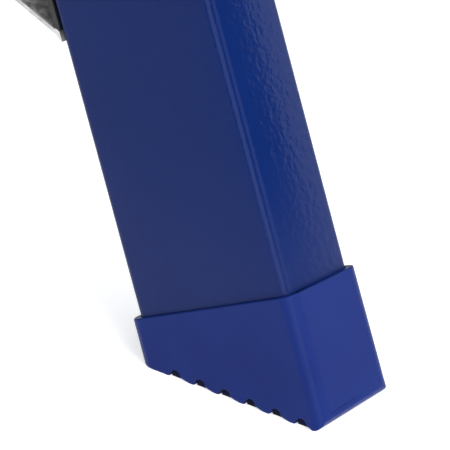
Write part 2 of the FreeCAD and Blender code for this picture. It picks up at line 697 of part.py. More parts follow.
def base_seats(side):
    """Bolts down through a hinge bracket's base into the hinge beam."""
    across = size("dims.base_wide / 2 - dims.base_bolt_side")
    along = size("dims.hinge_beam_wide / 2 - dims.base_bolt_end")
    top = rail_top + size("dims.base_thick")
    middle = at(-size("dims.hinge_back"), side * size("dims.hinge_side"), top)
    return [middle * at(x, y) for x in (-along, along) for y in (-across, across)]


hinge_beam_frame = at(-size("dims.hinge_back"), 0, under + size("dims.rail_high") / 2)
hinge_beam = tube("hinge_beam_tube", "XZ_Plane", "dims.hinge_beam_wide", "dims.rail_high",
                  "dims.hinge_beam_wall", "dims.rail_corner", between_rails)
node("hinge_beam",
     drilled("hinge_beam_bored", hinge_beam, hinge_beam_frame, base_seats(RIGHT) + base_seats(LEFT),
             deep=THICK_PLATE),
     hinge_beam_frame)

tie_frame = at(lean_reach(size("dims.tie_rise")), 0, size("dims.tie_rise"))
tie = tube("front_tie_tube", "XZ_Plane", "dims.tie_wide", "dims.tie_wide", "dims.leg_wall",
           "dims.leg_corner", f"2 * {RAIL_SIDE} + 200")
walls = []
for side in SIDES:
    inner = -size("dims.leg_narrow") / 2
    walls.append(beyond(f"front_tie_wall_{side}", tie_frame.inverse() * side_frame(side),
                        Vector(0, side, 0), inner))
node("front_tie", cut("front_tie_mitred", tie, walls), tie_frame)


# ---- braces: pressed channels that cross at mid-stand, riveted to a leg and under a rail ----

for end, side in CORNERS:
    label = f"brace_{END_NAME[end]}_{SIDE_NAME[side]}"
    frame = brace_frame(end, side)
    out = brace_out(end, side)
    web, lip = f"{out} * dims.brace_gap", f"{out} * (dims.brace_gap + dims.brace_deep)"
    inside = f"{out} * (dims.brace_gap + dims.brace_sheet)"
    low, high = "dims.brace_sheet", "dims.brace_wide - dims.brace_sheet"
    channel = new_body(f"{label}_channel")
    section = new_sketch(channel, "YZ_Plane", f"{label}_section")
    outline(section, [(web, "0"), (lip, "0"), (lip, low), (inside, low),
                      (inside, high), (lip, high), (lip, "dims.brace_wide"), (web, "dims.brace_wide")])
    pad(channel, section, "5 * dims.rail_underside")
    top = under - size("dims.brace_pad")
    trimmed = common(f"{label}_trim", channel, band(f"{label}_band", frame, 0, top))
    in_leg = frame.inverse() * leg_frame(end, side)
    reach = -leg_half - size("dims.brace_sheet")
    trimmed = cut(f"{label}_ended", trimmed,
                  [beyond(f"{label}_leg_space", in_leg, Vector(end, 0, 0), reach)])
    tab = box(f"{label}_tab", "dims.brace_sheet", "dims.brace_tab", brace_span + size("dims.brace_lap"))
    middle = out * size("dims.brace_gap + dims.brace_tab / 2")
    tab.Placement = in_leg * at(end * (reach + size("dims.brace_sheet") / 2), middle, -brace_start) \
        * at(-size("dims.brace_sheet") / 2, -size("dims.brace_tab") / 2)
    foot_end = size("dims.brace_beyond") + size("dims.brace_lap")
    long = size("dims.brace_lap") + size("dims.brace_wide") / math.sin(brace_slope)
    seat = size("dims.rail_wide / 2 - dims.brace_gap")
    pad_side = side * rail_side + out * (seat / 2 + size("dims.brace_gap"))
    under_rail = box(f"{label}_pad", long, seat, "dims.brace_pad")
    under_rail.Placement = frame.inverse() * at(end * (long / 2 - foot_end), pad_side, top) \
        * at(-long / 2, -seat / 2)
    whole = fuse(f"{label}_whole", [trimmed, tab, under_rail])
    seats = [leg_rivet_seat(end, side), rail_rivet_seat(end, side)]
    riveted = drilled(f"{label}_riveted", whole, frame, seats, "dims.rivet_round", ONE_WALL)
    node(label, drilled(f"{label}_crossed", riveted, frame, [cross_seat(side)], deep=THICK_PLATE), frame)

rivet_grip = "dims.brace_pad + dims.rail_wall + dims.bolt_proud"
pattern = rivet("brace_rivet", rivet_grip)
seats = [seat(end, side) for end, side in CORNERS for seat in (leg_rivet_seat, rail_rivet_seat)]
node("brace_rivets", copies("brace_rivet_set", pattern, seats))

cross_grip = "2 * (dims.brace_gap + dims.brace_sheet)"
crossings = [cross_seat(side) for side in SIDES]
node("brace_cross_bolts", bolted("cross", "dims.bolt_round", cross_grip, crossings))
spacer = cut("cross_spacer", rod("cross_spacer_blank", "1.8 * dims.bolt_round", "2 * dims.brace_gap"),
             [rod("cross_spacer_bore", "dims.bolt_round + dims.hole_gap", FAR, at(0, 0, -FAR / 2))])
drop = at(0, 0, -size("dims.brace_sheet + 2 * dims.brace_gap"))
node("brace_cross_spacers", copies("cross_spacer_set", spacer, [seat * drop for seat in crossings]))


# ---- rear steps: folded treads with grip holes and end plates against the rear legs ----

for name, height in STEPS.items():
    frame = at(-lean_reach(height) + size("dims.step_lead - dims.step_deep / 2"), 0, height)
    tray = new_body(f"{name}_tray")
    half, lip, sheet_edge = "dims.step_deep / 2", "-dims.step_lip", "-dims.step_sheet"
    inner = f"({half} - dims.step_sheet)"
    section = new_sketch(tray, "XZ_Plane", f"{name}_tray_section")
    outline(section, [(f"-{half}", "0"), (f"-{half}", lip), (f"-{inner}", lip), (f"-{inner}", sheet_edge),
                      (inner, sheet_edge), (inner, lip), (half, lip), (half, "0")])
    tray_half = lean_side(height) - size("dims.leg_narrow") / 2 / math.cos(lean) \
        - size("dims.step_cheek") / 2
    pad(tray, section, 2 * tray_half)
    doc.recompute()
    hole = new_sketch(tray, "XY_Plane", f"{name}_grip")
    rows, columns = size("dims.grip_rows"), size("dims.grip_columns")
    across = size("dims.grip_pitch") * (rows - 1)
    along = size("dims.grip_pitch") * (columns - 1)
    hole.AttachmentOffset = at(-across / 2, -along / 2)
    ring(hole, "dims.grip_round", "grip")
    pocket = tray.newObject("PartDesign::Pocket", f"{name}_pocket")
    pocket.Profile = hole
    pocket.SideType = "Symmetric"
    pocket.Type = "ThroughAll"
    doc.recompute()
    grid = tray.newObject("PartDesign::MultiTransform", f"{name}_grid")
    grid.Originals = [pocket]
    patterns = []
    for direction, reach, count in (("H_Axis", across, "dims.grip_rows"),
                                    ("V_Axis", along, "dims.grip_columns")):
        line = doc.addObject("PartDesign::LinearPattern", f"{name}_{direction}")
        line.Direction = (hole, [direction])
        line.Length = reach
        bind(line, Occurrences=count)
        patterns.append(line)
    grid.Transformations = patterns
    tray.Tip = grid
    cheeks = []
    for side in SIDES:
        cheek = box(f"{name}_cheek_{side}", "dims.step_deep", "dims.step_cheek", "dims.step_lip")
        face = -side * size("dims.leg_narrow / 2 + dims.step_cheek / 2")
        reach = -lean_reach(height) + size("dims.step_lead - dims.step_deep / 2")
        rise = (height - size("dims.step_lip") - under) / math.cos(lean)
        cheek.Placement = frame.inverse() * side_frame(side) * at(reach, face, rise) \
            * at(-size("dims.step_deep") / 2, -size("dims.step_cheek") / 2)
        cheeks.append(cheek)
    tread = fuse(f"{name}_tread", [tray] + cheeks)
    seats = [seat for side in SIDES for seat in step_seats(height, side)]
    node(f"{name}_step", drilled(f"{name}_tread_bored", tread, frame, seats, deep=THICK_PLATE), frame)

leg_grip = "dims.step_cheek + dims.leg_narrow"
seats = [seat for height in STEPS.values() for side in SIDES for seat in step_seats(height, side)]
node("step_bolts", bolted("step", "dims.bolt_round", leg_grip, seats))


# ---- anchor brackets: they stand outside the rear feet and bolt the stand to the deck ----

packings = []
for side in SIDES:
    name = f"anchor_{SIDE_NAME[side]}"
    frame = foot_frame(REAR, side)
    face = size("dims.leg_narrow") / 2
    pack_start = size("dims.anchor_pack_low")
    pack = box(f"{name}_pack", "dims.leg_wide", "dims.anchor_pack",
               "dims.anchor_tall - dims.anchor_pack_low")
    pack.Placement = at(-leg_half, side * (face + size("dims.anchor_pack") / 2), pack_start) \
        * at(0, -size("dims.anchor_pack") / 2)
    packing = drilled(f"{name}_pack_bored", pack, frame, anchor_seats(side))
    packing.Placement = frame
    packings.append(packing)
    plate = box(f"{name}_plate", "dims.leg_wide", "dims.anchor_sheet",
                "dims.anchor_tall + dims.foot_skirt")
    middle = side * (face + size("dims.anchor_pack + dims.anchor_sheet / 2"))
    plate.Placement = at(-leg_half, middle, -size("dims.foot_skirt")) \
        * at(0, -size("dims.anchor_sheet") / 2)
    upright = common(f"{name}_upright", plate, band(f"{name}_air", frame, 0, FAR))
    start = size("dims.leg_narrow / 2 + dims.anchor_pack")
    wide = size("dims.anchor_out") - start
    long = size("dims.leg_wide") / math.cos(splay)
    floor = box(f"{name}_floor", long, wide, "dims.anchor_floor")
    level = frame.inverse() * at(-ground_reach, side * (ground_side + start + wide / 2))
    floor.Placement = level * at(-long / 2, -wide / 2)
    hole_side = side * (ground_side + size("dims.anchor_hole_out"))
    hole = rod(f"{name}_hole", "dims.anchor_hole_round", THROUGH,
               frame.inverse() * at(-ground_reach, hole_side, -THROUGH / 2))
    folded = cut(f"{name}_folded", fuse(f"{name}_bend", [upright, floor]), [hole])
    node(f"anchor_bracket_{SIDE_NAME[side]}",
         drilled(f"{name}_bored", folded, frame, anchor_seats(side)), frame)

anchor_grip = "dims.anchor_sheet + dims.anchor_pack + dims.leg_narrow"
seats = [seat for side in SIDES for seat in anchor_seats(side)]
node("anchor_bolts", bolted("anchor", "dims.bolt_round", anchor_grip, seats))
node("anchor_packings", group("packing_set", packings))


# ---- handrails: bent stainless tube, strapped to the rails' outer faces ----

hoop_side = size(HOOP_SIDE)
hoop_base = under + size("dims.hoop_foot")
for side in SIDES:
    label = f"handrail_{SIDE_NAME[side]}"
    bend = size("dims.hoop_bend")
    tall = size("dims.hoop_top") - hoop_base
    span = size("dims.hoop_rear - dims.hoop_front")
    hoop = new_body(f"{label}_tube")
    path = new_sketch(hoop, "XZ_Plane", f"{label}_path")
    corner = Part.Circle(Vector(bend, tall - bend, 0), Z_AXIS, bend)
    far_corner = Part.Circle(Vector(span - bend, tall - bend, 0), Z_AXIS, bend)
    path.addGeometry(Part.LineSegment(Vector(0, 0, 0), Vector(0, tall - bend, 0)), False)
    path.addGeometry(Part.ArcOfCircle(corner, math.pi / 2, math.pi), False)
    path.addGeometry(Part.LineSegment(Vector(bend, tall, 0), Vector(span - bend, tall, 0)), False)
    path.addGeometry(Part.ArcOfCircle(far_corner, 0, math.pi / 2), False)
    path.addGeometry(Part.LineSegment(Vector(span, tall - bend, 0), Vector(span, 0, 0)), False)
    for joint in ((0, 2, 1, 2), (1, 1, 2, 1), (2, 2, 3, 2), (3, 1, 4, 1)):
        path.addConstraint(Sketcher.Constraint("Tangent", *joint))
    path.addConstraint(Sketcher.Constraint("Coincident", 0, 1, -1, 1))
    path.addConstraint(Sketcher.Constraint("Vertical", 0))
    path.addConstraint(Sketcher.Constraint("Horizontal", 2))
    path.addConstraint(Sketcher.Constraint("Vertical", 4))
    path.addConstraint(Sketcher.Constraint("Equal", 1, 3))
    path.addConstraint(Sketcher.Constraint("PointOnObject", 4, 2, -1))
    constrain(path, "bend", Sketcher.Constraint("Radius", 1, bend), "dims.hoop_bend")
    constrain(path, "tall", Sketcher.Constraint("DistanceY", -1, 1, 0, 2, tall - bend),
              "dims.hoop_top - dims.rail_underside - dims.hoop_foot - dims.hoop_bend")
    constrain(path, "span", Sketcher.Constraint("DistanceX", -1, 1, 4, 2, span),
              "dims.hoop_rear - dims.hoop_front")
    section = new_sketch(hoop, "XY_Plane", f"{label}_section")
    ring(section, "dims.hoop_round", "outer")
    ring(section, "dims.hoop_round - dims.hoop_wall", "inner")
    pipe = hoop.newObject("PartDesign::AdditivePipe", f"{label}_pipe")
    pipe.Profile = section
    pipe.Spine = (path, [])
    node(label, hoop, at(-size("dims.hoop_rear"), side * hoop_side, hoop_base))

posts = [(post, side) for post in (-size("dims.hoop_front"), -size("dims.hoop_rear")) for side in SIDES]
lip = rod("post_plug_lip", "dims.hoop_round", "dims.plug_lip", at(0, 0, -size("dims.plug_lip")))
core = rod("post_plug_core", "dims.hoop_round - dims.hoop_wall - dims.plug_gap", "dims.plug_deep")
node("handrail_plugs",
     copies("post_plug_set", fuse("post_plug", [lip, core]),
            [at(post, side * hoop_side, hoop_base) for post, side in posts]))

grip_round = "dims.hoop_round + dims.strap_thick"
straps = []
for post, side in posts:
    name = f"strap_{len(straps)}"
    place = at(post, side * hoop_side, under + size("dims.rail_high / 2 - dims.strap_high / 2"))
    inward = -side * size("dims.hoop_round")
    arch = rod(f"{name}_arch", grip_round, "dims.strap_high", place)
    sides = box(f"{name}_sides", f"2 * ({grip_round})", "dims.hoop_round", "dims.strap_high")
    sides.Placement = place * at(0, inward / 2) * at(-size(grip_round), -size("dims.hoop_round") / 2)
    ears_long = f"2 * ({grip_round} + dims.strap_ear)"
    ears = box(f"{name}_ears", ears_long, "dims.strap_thick", "dims.strap_high")
    ears.Placement = place * at(0, inward + side * size("dims.strap_thick") / 2) \
        * at(-size(ears_long) / 2, -size("dims.strap_thick") / 2)
    past_rail = beyond(f"{name}_rail_space", place, Vector(0, -side, 0), size("dims.hoop_round"))
    throat = box(f"{name}_throat", "2 * dims.hoop_round", "dims.hoop_round", "dims.strap_high")
    throat.Placement = place * at(0, inward / 2) \
        * at(-size("dims.hoop_round"), -size("dims.hoop_round") / 2)
    bore = rod(f"{name}_bore", "dims.hoop_round", FAR, place * at(0, 0, -FAR / 2))
    straps.append(cut(name, fuse(f"{name}_blank", [arch, sides, ears]), [past_rail, throat, bore]))
strap_bolts = [seat for side in SIDES for seat in strap_seats(side)]
node("handrail_straps", drilled("straps_bored", group("strap_set", straps), STILL, strap_bolts,
                                deep=THICK_PLATE))


# ---- board: core with round edges, gritted top layer, wear pad, and its through bolts ----

def board_seats(side):
    """Bolts down through the board and a hinge leaf."""
    rear = -size("dims.hinge_back + dims.hinge_eye_round")
    top = board_under + size("dims.board_thick + dims.grit_thick")
    leaf = at(rear, side * size("dims.hinge_side"), top)
    across = size("dims.leaf_wide / 2 - dims.leaf_bolt_side")
    along = (size("dims.leaf_bolt_rear"), size("dims.leaf_long - dims.leaf_bolt_front"))
    return [leaf * at(x, y) for x in along for y in (-across, across)]


board_bolts = board_seats(RIGHT) + board_seats(LEFT)
board_middle = size("dims.board_long / 2 - dims.board_tail")


def plank(name, inset, thick):
    """A flat slab in the board's outline: large corners at the tip, small ones at the tail."""
    long, wide = f"(dims.board_long - 2 * {inset})", f"(dims.board_wide - 2 * {inset})"
    tip = prism(f"{name}_tip", "XY_Plane", long, wide, f"dims.board_corner - {inset}", thick)
    tail = prism(f"{name}_tail", "XY_Plane", f"{long} / 2", wide, f"dims.tail_corner - {inset}", thick)
    tail.Placement = at(-size(f"{long} / 4"))
    return fuse(name, [tip, tail])


board_frame = at(board_middle, 0, board_under + size("dims.board_thick") / 2)
slab = plank("board_slab", "0", "dims.board_thick")
doc.recompute()
soft = doc.addObject("Part::Fillet", "board_soft")
soft.Base = slab
face_rise = size("dims.board_thick") / 2
rims = [number for number, edge in enumerate(slab.Shape.Edges, start=1)
        if math.isclose(abs(edge.CenterOfMass.z), face_rise, abs_tol=0.01)]
soft.Edges = [(number, size("dims.board_edge"), size("dims.board_edge")) for number in rims]
node("board_core", drilled("board_bored", soft, board_frame, board_bolts), board_frame)

grit_frame = at(board_middle, 0, board_under + size("dims.board_thick + dims.grit_thick / 2"))
node("gritted_top", drilled("grit_bored", plank("grit_slab", "dims.grit_inset", "dims.grit_thick"),
                            grit_frame, board_bolts), grit_frame)
node("wear_pad", prism("pad_slab", "XY_Plane", "dims.pad_long", "dims.pad_wide", "dims.pad_corner",
                       "dims.pad_thick"),
     at(shaft_ahead, 0, board_under - size("dims.pad_thick") / 2))

board_grip = "dims.grit_thick + dims.board_thick + dims.leaf_thick"
node("board_bolts", bolted("board", "dims.bolt_round", board_grip, board_bolts, 2.2, 0.5))


# ---- hinges: leaves under the board, brackets on the hinge beam, pins, bushes and rings ----

pin_rise = board_under - size("dims.hinge_drop")
for side in SIDES:
    name = f"hinge_{SIDE_NAME[side]}"
    eye = at(-size("dims.hinge_back"), side * size("dims.hinge_side"), pin_rise)
    along_y = at(0, 0, 0, X_AXIS, -90)
    eye_half = size("dims.hinge_eye_wide") / 2
    rear = size("dims.hinge_eye_round")
    leaf_rise = size("dims.hinge_drop - dims.leaf_thick")
    leaf = box(f"{name}_leaf", "dims.leaf_long", "dims.leaf_wide", "dims.leaf_thick")
    leaf.Placement = at(-rear, -size("dims.leaf_wide") / 2, leaf_rise)
    web = box(f"{name}_web", "2 * dims.hinge_eye_round", "dims.hinge_eye_wide",
              "dims.hinge_drop - dims.leaf_thick")
    web.Placement = at(-rear, -eye_half)
    barrel = rod(f"{name}_barrel", "dims.hinge_eye_round", "dims.hinge_eye_wide",
                 at(0, -eye_half) * along_y)
    bore = rod(f"{name}_bore", "dims.hinge_pin_round + dims.run_gap + dims.bush_wall", FAR,
               at(0, -FAR / 2) * along_y)
    knuckle = cut(f"{name}_knuckle", fuse(f"{name}_cast", [leaf, web, barrel]), [bore])
    node(f"hinge_leaf_{SIDE_NAME[side]}", drilled(f"{name}_bored", knuckle, eye, board_seats(side)), eye)

    ear_start = size("dims.hinge_eye_wide / 2 + dims.ear_gap")
    ear_thick = size("dims.ear_thick")
    base_top = rail_top + size("dims.base_thick") - pin_rise
    base = box(f"{name}_base", "dims.hinge_beam_wide", "dims.base_wide", "dims.base_thick")
    base.Placement = at(-size("dims.hinge_beam_wide") / 2, -size("dims.base_wide") / 2, rail_top - pin_rise)
    pieces = [base]
    ear_round = size("dims.ear_round")
    for turn in (-1, 1):
        start = min(turn * ear_start, turn * (ear_start + ear_thick))
        post = box(f"{name}_post_{turn}", 2 * ear_round, ear_thick, -base_top)
        post.Placement = at(-ear_round, start, base_top)
        ear = rod(f"{name}_ear_{turn}", "dims.ear_round", "dims.ear_thick", at(0, start) * along_y)
        pieces += [post, ear]
    hole = rod(f"{name}_ear_bore", "dims.hinge_pin_round", FAR, at(0, -FAR / 2) * along_y)
    bracket = cut(f"{name}_bracket", fuse(f"{name}_forged", pieces), [hole])
    node(f"hinge_bracket_{SIDE_NAME[side]}",
         drilled(f"{name}_bracket_bored", bracket, eye, base_seats(side), deep=ONE_WALL), eye)

strap_bolt = bolt("strap_bolt", "dims.bolt_round", "dims.strap_thick + dims.rail_wall + dims.tap_deep")
base_bolt = bolt("base_bolt", "dims.bolt_round", "dims.base_thick + dims.hinge_beam_wall + dims.tap_deep")
node("frame_bolts",
     group("frame_bolt_set", [copies("strap_bolts", strap_bolt, strap_bolts),
                              copies("base_bolts", base_bolt, base_seats(RIGHT) + base_seats(LEFT))]))
eyes = [at(-size("dims.hinge_back"), side * size("dims.hinge_side"), pin_rise, X_AXIS, -90)
        for side in SIDES]
blank = rod("bush_blank", "dims.hinge_pin_round + dims.run_gap + dims.bush_wall", "dims.hinge_eye_wide",
            at(0, 0, -size("dims.hinge_eye_wide") / 2))
bush = cut("hinge_bush", blank,
           [rod("bush_bore", "dims.hinge_pin_round + dims.run_gap", FAR, at(0, 0, -FAR / 2))])
node("hinge_bushes", copies("hinge_bush_set", bush, eyes))
pin_half = "(dims.hinge_eye_wide / 2 + dims.ear_gap + dims.ear_thick + dims.pin_proud)"
pin = rod("hinge_pin", "dims.hinge_pin_round", f"2 * {pin_half}", at(0, 0, -size(pin_half)))
clip = cut("pin_clip", rod("clip_blank", "dims.hinge_pin_round + dims.clip_rim", "dims.clip_thick"),
           [rod("clip_bore", "dims.hinge_pin_round", FAR, at(0, 0, -FAR / 2))])
ears_end = size("dims.hinge_eye_wide / 2 + dims.ear_gap + dims.ear_thick")
clip_starts = (ears_end, -ears_end - size("dims.clip_thick"))
clip_seats = [eye * at(0, 0, start) for eye in eyes for start in clip_starts]
node("hinge_pins",
     group("hinge_pin_set", [copies("pins", pin, eyes), copies("pin_clips", clip, clip_seats)]))


# ---- racks on the side rails ----

for side in SIDES:
    label = f"rack_{SIDE_NAME[side]}"
    root = "(dims.rack_rise - dims.rack_root)"
    rack = new_body(f"{label}_bar")
    bar = new_sketch(rack, "XZ_Plane", f"{label}_outline")
    outline(bar, [(f"-{RACK_HALF}", "0"), (RACK_HALF, "0"), (RACK_HALF, root), (f"-{RACK_HALF}", root)])
    pad(rack, bar, "dims.rack_wide")
    tooth = new_sketch(rack, "XZ_Plane", f"{label}_tooth")
    foot = f"({RACK_PITCH} / 4 + dims.rack_root * tan(dims.gear_angle))"
    crest = f"({RACK_PITCH} / 4 - dims.rack_tip * tan(dims.gear_angle))"
    first = f"({RACK_PITCH} * {RACK_TEETH})"
    peak = "(dims.rack_rise + dims.rack_tip)"
    sunk = f"({root} / 2)"
    outline(tooth, [(f"-{first} - {foot}", sunk), (f"-{first} + {foot}", sunk),
                    (f"-{first} + {foot}", root), (f"-{first} + {crest}", peak),
                    (f"-{first} - {crest}", peak), (f"-{first} - {foot}", root)])
    tooth_pad = pad(rack, tooth, "dims.rack_wide")
    doc.recompute()
    row = rack.newObject("PartDesign::LinearPattern", f"{label}_teeth")
    row.Originals = [tooth_pad]
    row.Direction = (tooth, ["H_Axis"])
    bind(row, Length=f"2 * {first}", Occurrences=f"2 * {RACK_TEETH} + 1")
    rack.Tip = row
    frame = at(shaft_ahead, side * rail_side, rail_top)
    node(label, drilled(f"{label}_bored", rack, frame, rack_seats(side), "dims.screw_round", THICK_PLATE),
         frame)

screw_grip = "dims.rack_rise - dims.rack_root + dims.rail_wall + dims.tap_deep"
pattern = bolt("rack_screw", "dims.screw_round", screw_grip, cap=HEAD_TALL / 2)
node("rack_screws", copies("rack_screw_set", pattern, rack_seats(RIGHT) + rack_seats(LEFT)))


# ---- fulcrum carriage: saddles over the rails, guide shoes, bushes and tie rods ----

shaft_line = at(shaft_ahead, 0, shaft_rise, X_AXIS, -90)
rod_reach, rod_rise = size("dims.rod_reach"), shaft_rise + size("dims.rod_rise")
rod_seats = [at(shaft_ahead + turn * rod_reach, 0, rod_rise, X_AXIS, -90) for turn in (-1, 1)]
for side in SIDES:
    label = f"fulcrum_saddle_{SIDE_NAME[side]}"
    frame = at(shaft_ahead, side * rail_side, rail_top)
    cover = new_body(f"{label}_casting")
    gap = "(dims.rail_wide / 2 + dims.saddle_gap)"
    wall = f"({gap} + dims.saddle_wall)"
    skirt = "(-dims.saddle_skirt)"
    roof = f"({SADDLE_ROOF} - {RAIL_TOP})"
    top = f"({roof} + dims.saddle_wall)"
    section = new_sketch(cover, "YZ_Plane", f"{label}_section")
    outline(section, [(f"-{wall}", skirt), (f"-{gap}", skirt), (f"-{gap}", roof), (gap, roof),
                      (gap, skirt), (wall, skirt), (wall, top), (f"-{wall}", top)])
    pad(cover, section, "dims.saddle_long")
    bores = [rod(f"{label}_bore", "dims.shaft_round + dims.run_gap + dims.bush_wall", FAR,
                 frame.inverse() * shaft_line * at(0, 0, -FAR / 2))]
    for number, seat in enumerate(rod_seats):
        reach = side * size(f"{SADDLE_IN}") - size("2 * dims.saddle_wall")
        bores.append(rod(f"{label}_rod_bore_{number}", "dims.rod_round", "4 * dims.saddle_wall",
                         frame.inverse() * seat * at(0, 0, reach)))
    node(label, cut(f"{label}_bored", cover, bores), frame)

shoes = []
for side in SIDES:
    for turn in (-1, 1):
        name = f"shoe_{side}_{turn}"
        shift = turn * size("dims.saddle_long - dims.shoe_long") / 2
        place = at(shaft_ahead + shift, side * rail_side, rail_top)
        low = size("dims.shoe_low - dims.saddle_skirt")
        crown = size("dims.rack_rise + dims.rack_tip + dims.shoe_crown")
        block = box(f"{name}_block", "dims.shoe_long", "dims.rail_wide + 2 * dims.saddle_gap", crown - low,
                    place * at(0, 0, low))
        over_rail = box(f"{name}_rail_slot", FAR, "dims.rail_wide + 2 * dims.shoe_gap", FAR,
                        place * at(0, 0, size("dims.shoe_gap") - FAR))
        over_rack = box(f"{name}_rack_slot", FAR, "dims.rack_wide + 2 * dims.shoe_gap",
                        "dims.rack_rise + dims.rack_tip + dims.shoe_gap", place)
        shoes.append(cut(name, block, [over_rail, over_rack]))
node("guide_shoes", group("shoe_set", shoes))

blank = rod("shaft_bush_blank", "dims.shaft_round + dims.run_gap + dims.bush_wall", "dims.saddle_wall")
bush = cut("shaft_bush", blank,
           [rod("shaft_bush_bore", "dims.shaft_round + dims.run_gap", FAR, at(0, 0, -FAR / 2))])
inner_wall = size(f"{SADDLE_IN} - dims.saddle_wall")
outer_wall = size(f"{SADDLE_OUT} - dims.saddle_wall")
wall_depth = size("dims.saddle_wall")
bush_starts = (inner_wall, outer_wall, -inner_wall - wall_depth, -outer_wall - wall_depth)
node("shaft_bushes",
     copies("shaft_bush_set", bush, [shaft_line * at(0, 0, start) for start in bush_starts]))

rod_half = f"({SADDLE_IN} + {NUT_TALL} * dims.rod_round + dims.bolt_proud)"
tie_rod = rod("fulcrum_rod", "dims.rod_round", f"2 * {rod_half}", at(0, 0, -size(rod_half)))
rod_nut = nut("rod_nut", "dims.rod_round")
nut_starts = [at(0, 0, size(SADDLE_IN)), at(0, 0, -size(SADDLE_IN)) * turned,
              at(0, 0, inner_wall) * turned, at(0, 0, -inner_wall)]
nut_seats = [seat * start for seat in rod_seats for start in nut_starts]
node("fulcrum_tie_rods",
     group("fulcrum_rod_set", [copies("rods", tie_rod, rod_seats), copies("rod_nuts", rod_nut, nut_seats)]))


# ---- fulcrum shaft: pinions, collars, handwheel and its nut ----

def involute_pinion(name):
    """A spur pinion about Z with a tooth space on its -Y side, as one extruded outline."""
    module, teeth = size("dims.gear_module"), int(size("dims.gear_teeth"))
    pitch, crest = module * teeth / 2, module * (teeth + 2) / 2
    root = pitch - size("dims.rack_root")
    pressure = math.radians(size("dims.gear_angle"))
    base = pitch * math.cos(pressure)
    spread = math.tan(pressure) - pressure
    half_tooth = math.pi / 2 / teeth - size("dims.gear_backlash") / 2 / pitch
    flank = []
    for step in range(FLANK_POINTS):
        radius = base + (crest - base) * step / (FLANK_POINTS - 1)
        roll = math.sqrt((radius / base) ** 2 - 1)
        flank.append((radius, half_tooth + spread - (roll - math.atan(roll))))

    def spot(radius, angle):
        return Vector(radius * math.cos(angle), radius * math.sin(angle), 0)

    edges = []
    step = 2 * math.pi / teeth
    for number in range(teeth):
        middle = -math.pi / 2 + (number + 0.5) * step
        rising = [spot(radius, middle - angle) for radius, angle in flank]
        falling = [spot(radius, middle + angle) for radius, angle in reversed(flank)]
        foot_start, foot_end = spot(root, middle - flank[0][1]), spot(root, middle + flank[0][1])
        next_foot = spot(root, middle + step - flank[0][1])
        for points in (rising, falling):
            curve = Part.BSplineCurve()
            curve.interpolate(points)
            edges.append(curve.toShape())
        edges.append(Part.LineSegment(foot_start, rising[0]).toShape())
        edges.append(Part.Arc(rising[-1], spot(crest, middle), falling[0]).toShape())
        edges.append(Part.LineSegment(falling[-1], foot_end).toShape())
        edges.append(Part.Arc(foot_end, spot(root, middle + step / 2), next_foot).toShape())
    wire = Part.Wire(Part.__sortEdges__(edges))
    blank = Part.Face(wire).extrude(Vector(0, 0, size("dims.gear_face")))
    bore = Part.makeCylinder(size("dims.shaft_round"), FAR, Vector(0, 0, -FAR / 2))
    feature = doc.addObject("Part::Feature", name)
    feature.Shape = blank.cut(bore)
    return feature


gear_half = size("dims.gear_face") / 2
for side in SIDES:
    label = f"pinion_{SIDE_NAME[side]}"
    upright = at(shaft_ahead, side * rail_side, shaft_rise, X_AXIS, 90)
    node(label, involute_pinion(f"{label}_gear"), upright * at(0, 0, -gear_half))

hub_start = size(HUB_START)
hub_end = size(f"{HUB_START} + dims.wheel_hub_long")
tail = size(f"{NUT_TALL} * dims.thread_round + dims.bolt_proud")
left_end = size(f"{SADDLE_OUT} + dims.shaft_left")
main = rod("shaft_main", "dims.shaft_round", f"{hub_end} + {left_end}", shaft_line * at(0, 0, -hub_end))
stub = rod("shaft_stub", "dims.thread_round", tail, shaft_line * at(0, 0, -hub_end - tail))
node("fulcrum_shaft", fuse("shaft_turned", [main, stub]))
shaft_nut = nut("shaft_nut_blank", "dims.thread_round", turned)
node("handwheel_nut", copies("shaft_nut", shaft_nut, [shaft_line * at(0, 0, -hub_end)]))


def collar(name, start, long):
    """A plain ring fixed on the shaft, from one distance along it to another."""
    place = shaft_line * at(0, 0, start)
    blank = rod(f"{name}_blank", "dims.collar_round", long, place)
    return cut(name, blank, [rod(f"{name}_bore", "dims.shaft_round", FAR, place * at(0, 0, -FAR / 2))])


end_gap = size("dims.collar_gap")
roller_half = size(ROLLER_HALF)
saddle_out = size(SADDLE_OUT)
collar_long = size("dims.roller_end") - 2 * end_gap
hub_gap = hub_start - saddle_out - end_gap
node("shaft_collars",
     group("collar_set", [
         collar("inner_collar_left", roller_half + end_gap, collar_long),
         collar("inner_collar_right", -roller_half - end_gap - collar_long, collar_long),
         collar("outer_collar_left", saddle_out + end_gap, "dims.collar_long"),
         collar("hub_spacer", -saddle_out - end_gap - hub_gap, hub_gap)]))

hub = at(0, 0, -hub_end)
rim = doc.addObject("Part::Torus", "wheel_rim")
bind(rim, Radius1="dims.wheel_round - dims.wheel_rim", Radius2="dims.wheel_rim")
rim.Placement = hub * at(0, 0, size("dims.wheel_hub_long") / 2)
pieces = [rim, rod("wheel_hub", "dims.wheel_hub_round", "dims.wheel_hub_long", hub)]
spoke_step = 360 / size("dims.spoke_count")
for number in range(int(size("dims.spoke_count"))):
    turn = at(0, 0, 0, Z_AXIS, spoke_step * (number + 0.5)) * at(0, 0, 0, Y_AXIS, 90)
    spoke = rod(f"wheel_spoke_{number}", "dims.spoke_round", "dims.wheel_round - dims.wheel_rim",
                hub * at(0, 0, size("dims.wheel_hub_long") / 2) * turn)
    pieces.append(spoke)
bore = rod("wheel_bore", "dims.shaft_round", FAR, at(0, 0, -FAR / 2))
node("handwheel", cut("wheel_bored", fuse("wheel_cast", pieces), [bore]), shaft_line)


# ---- fulcrum roller: steel tube with hubs, rubber sleeve, bushes ----

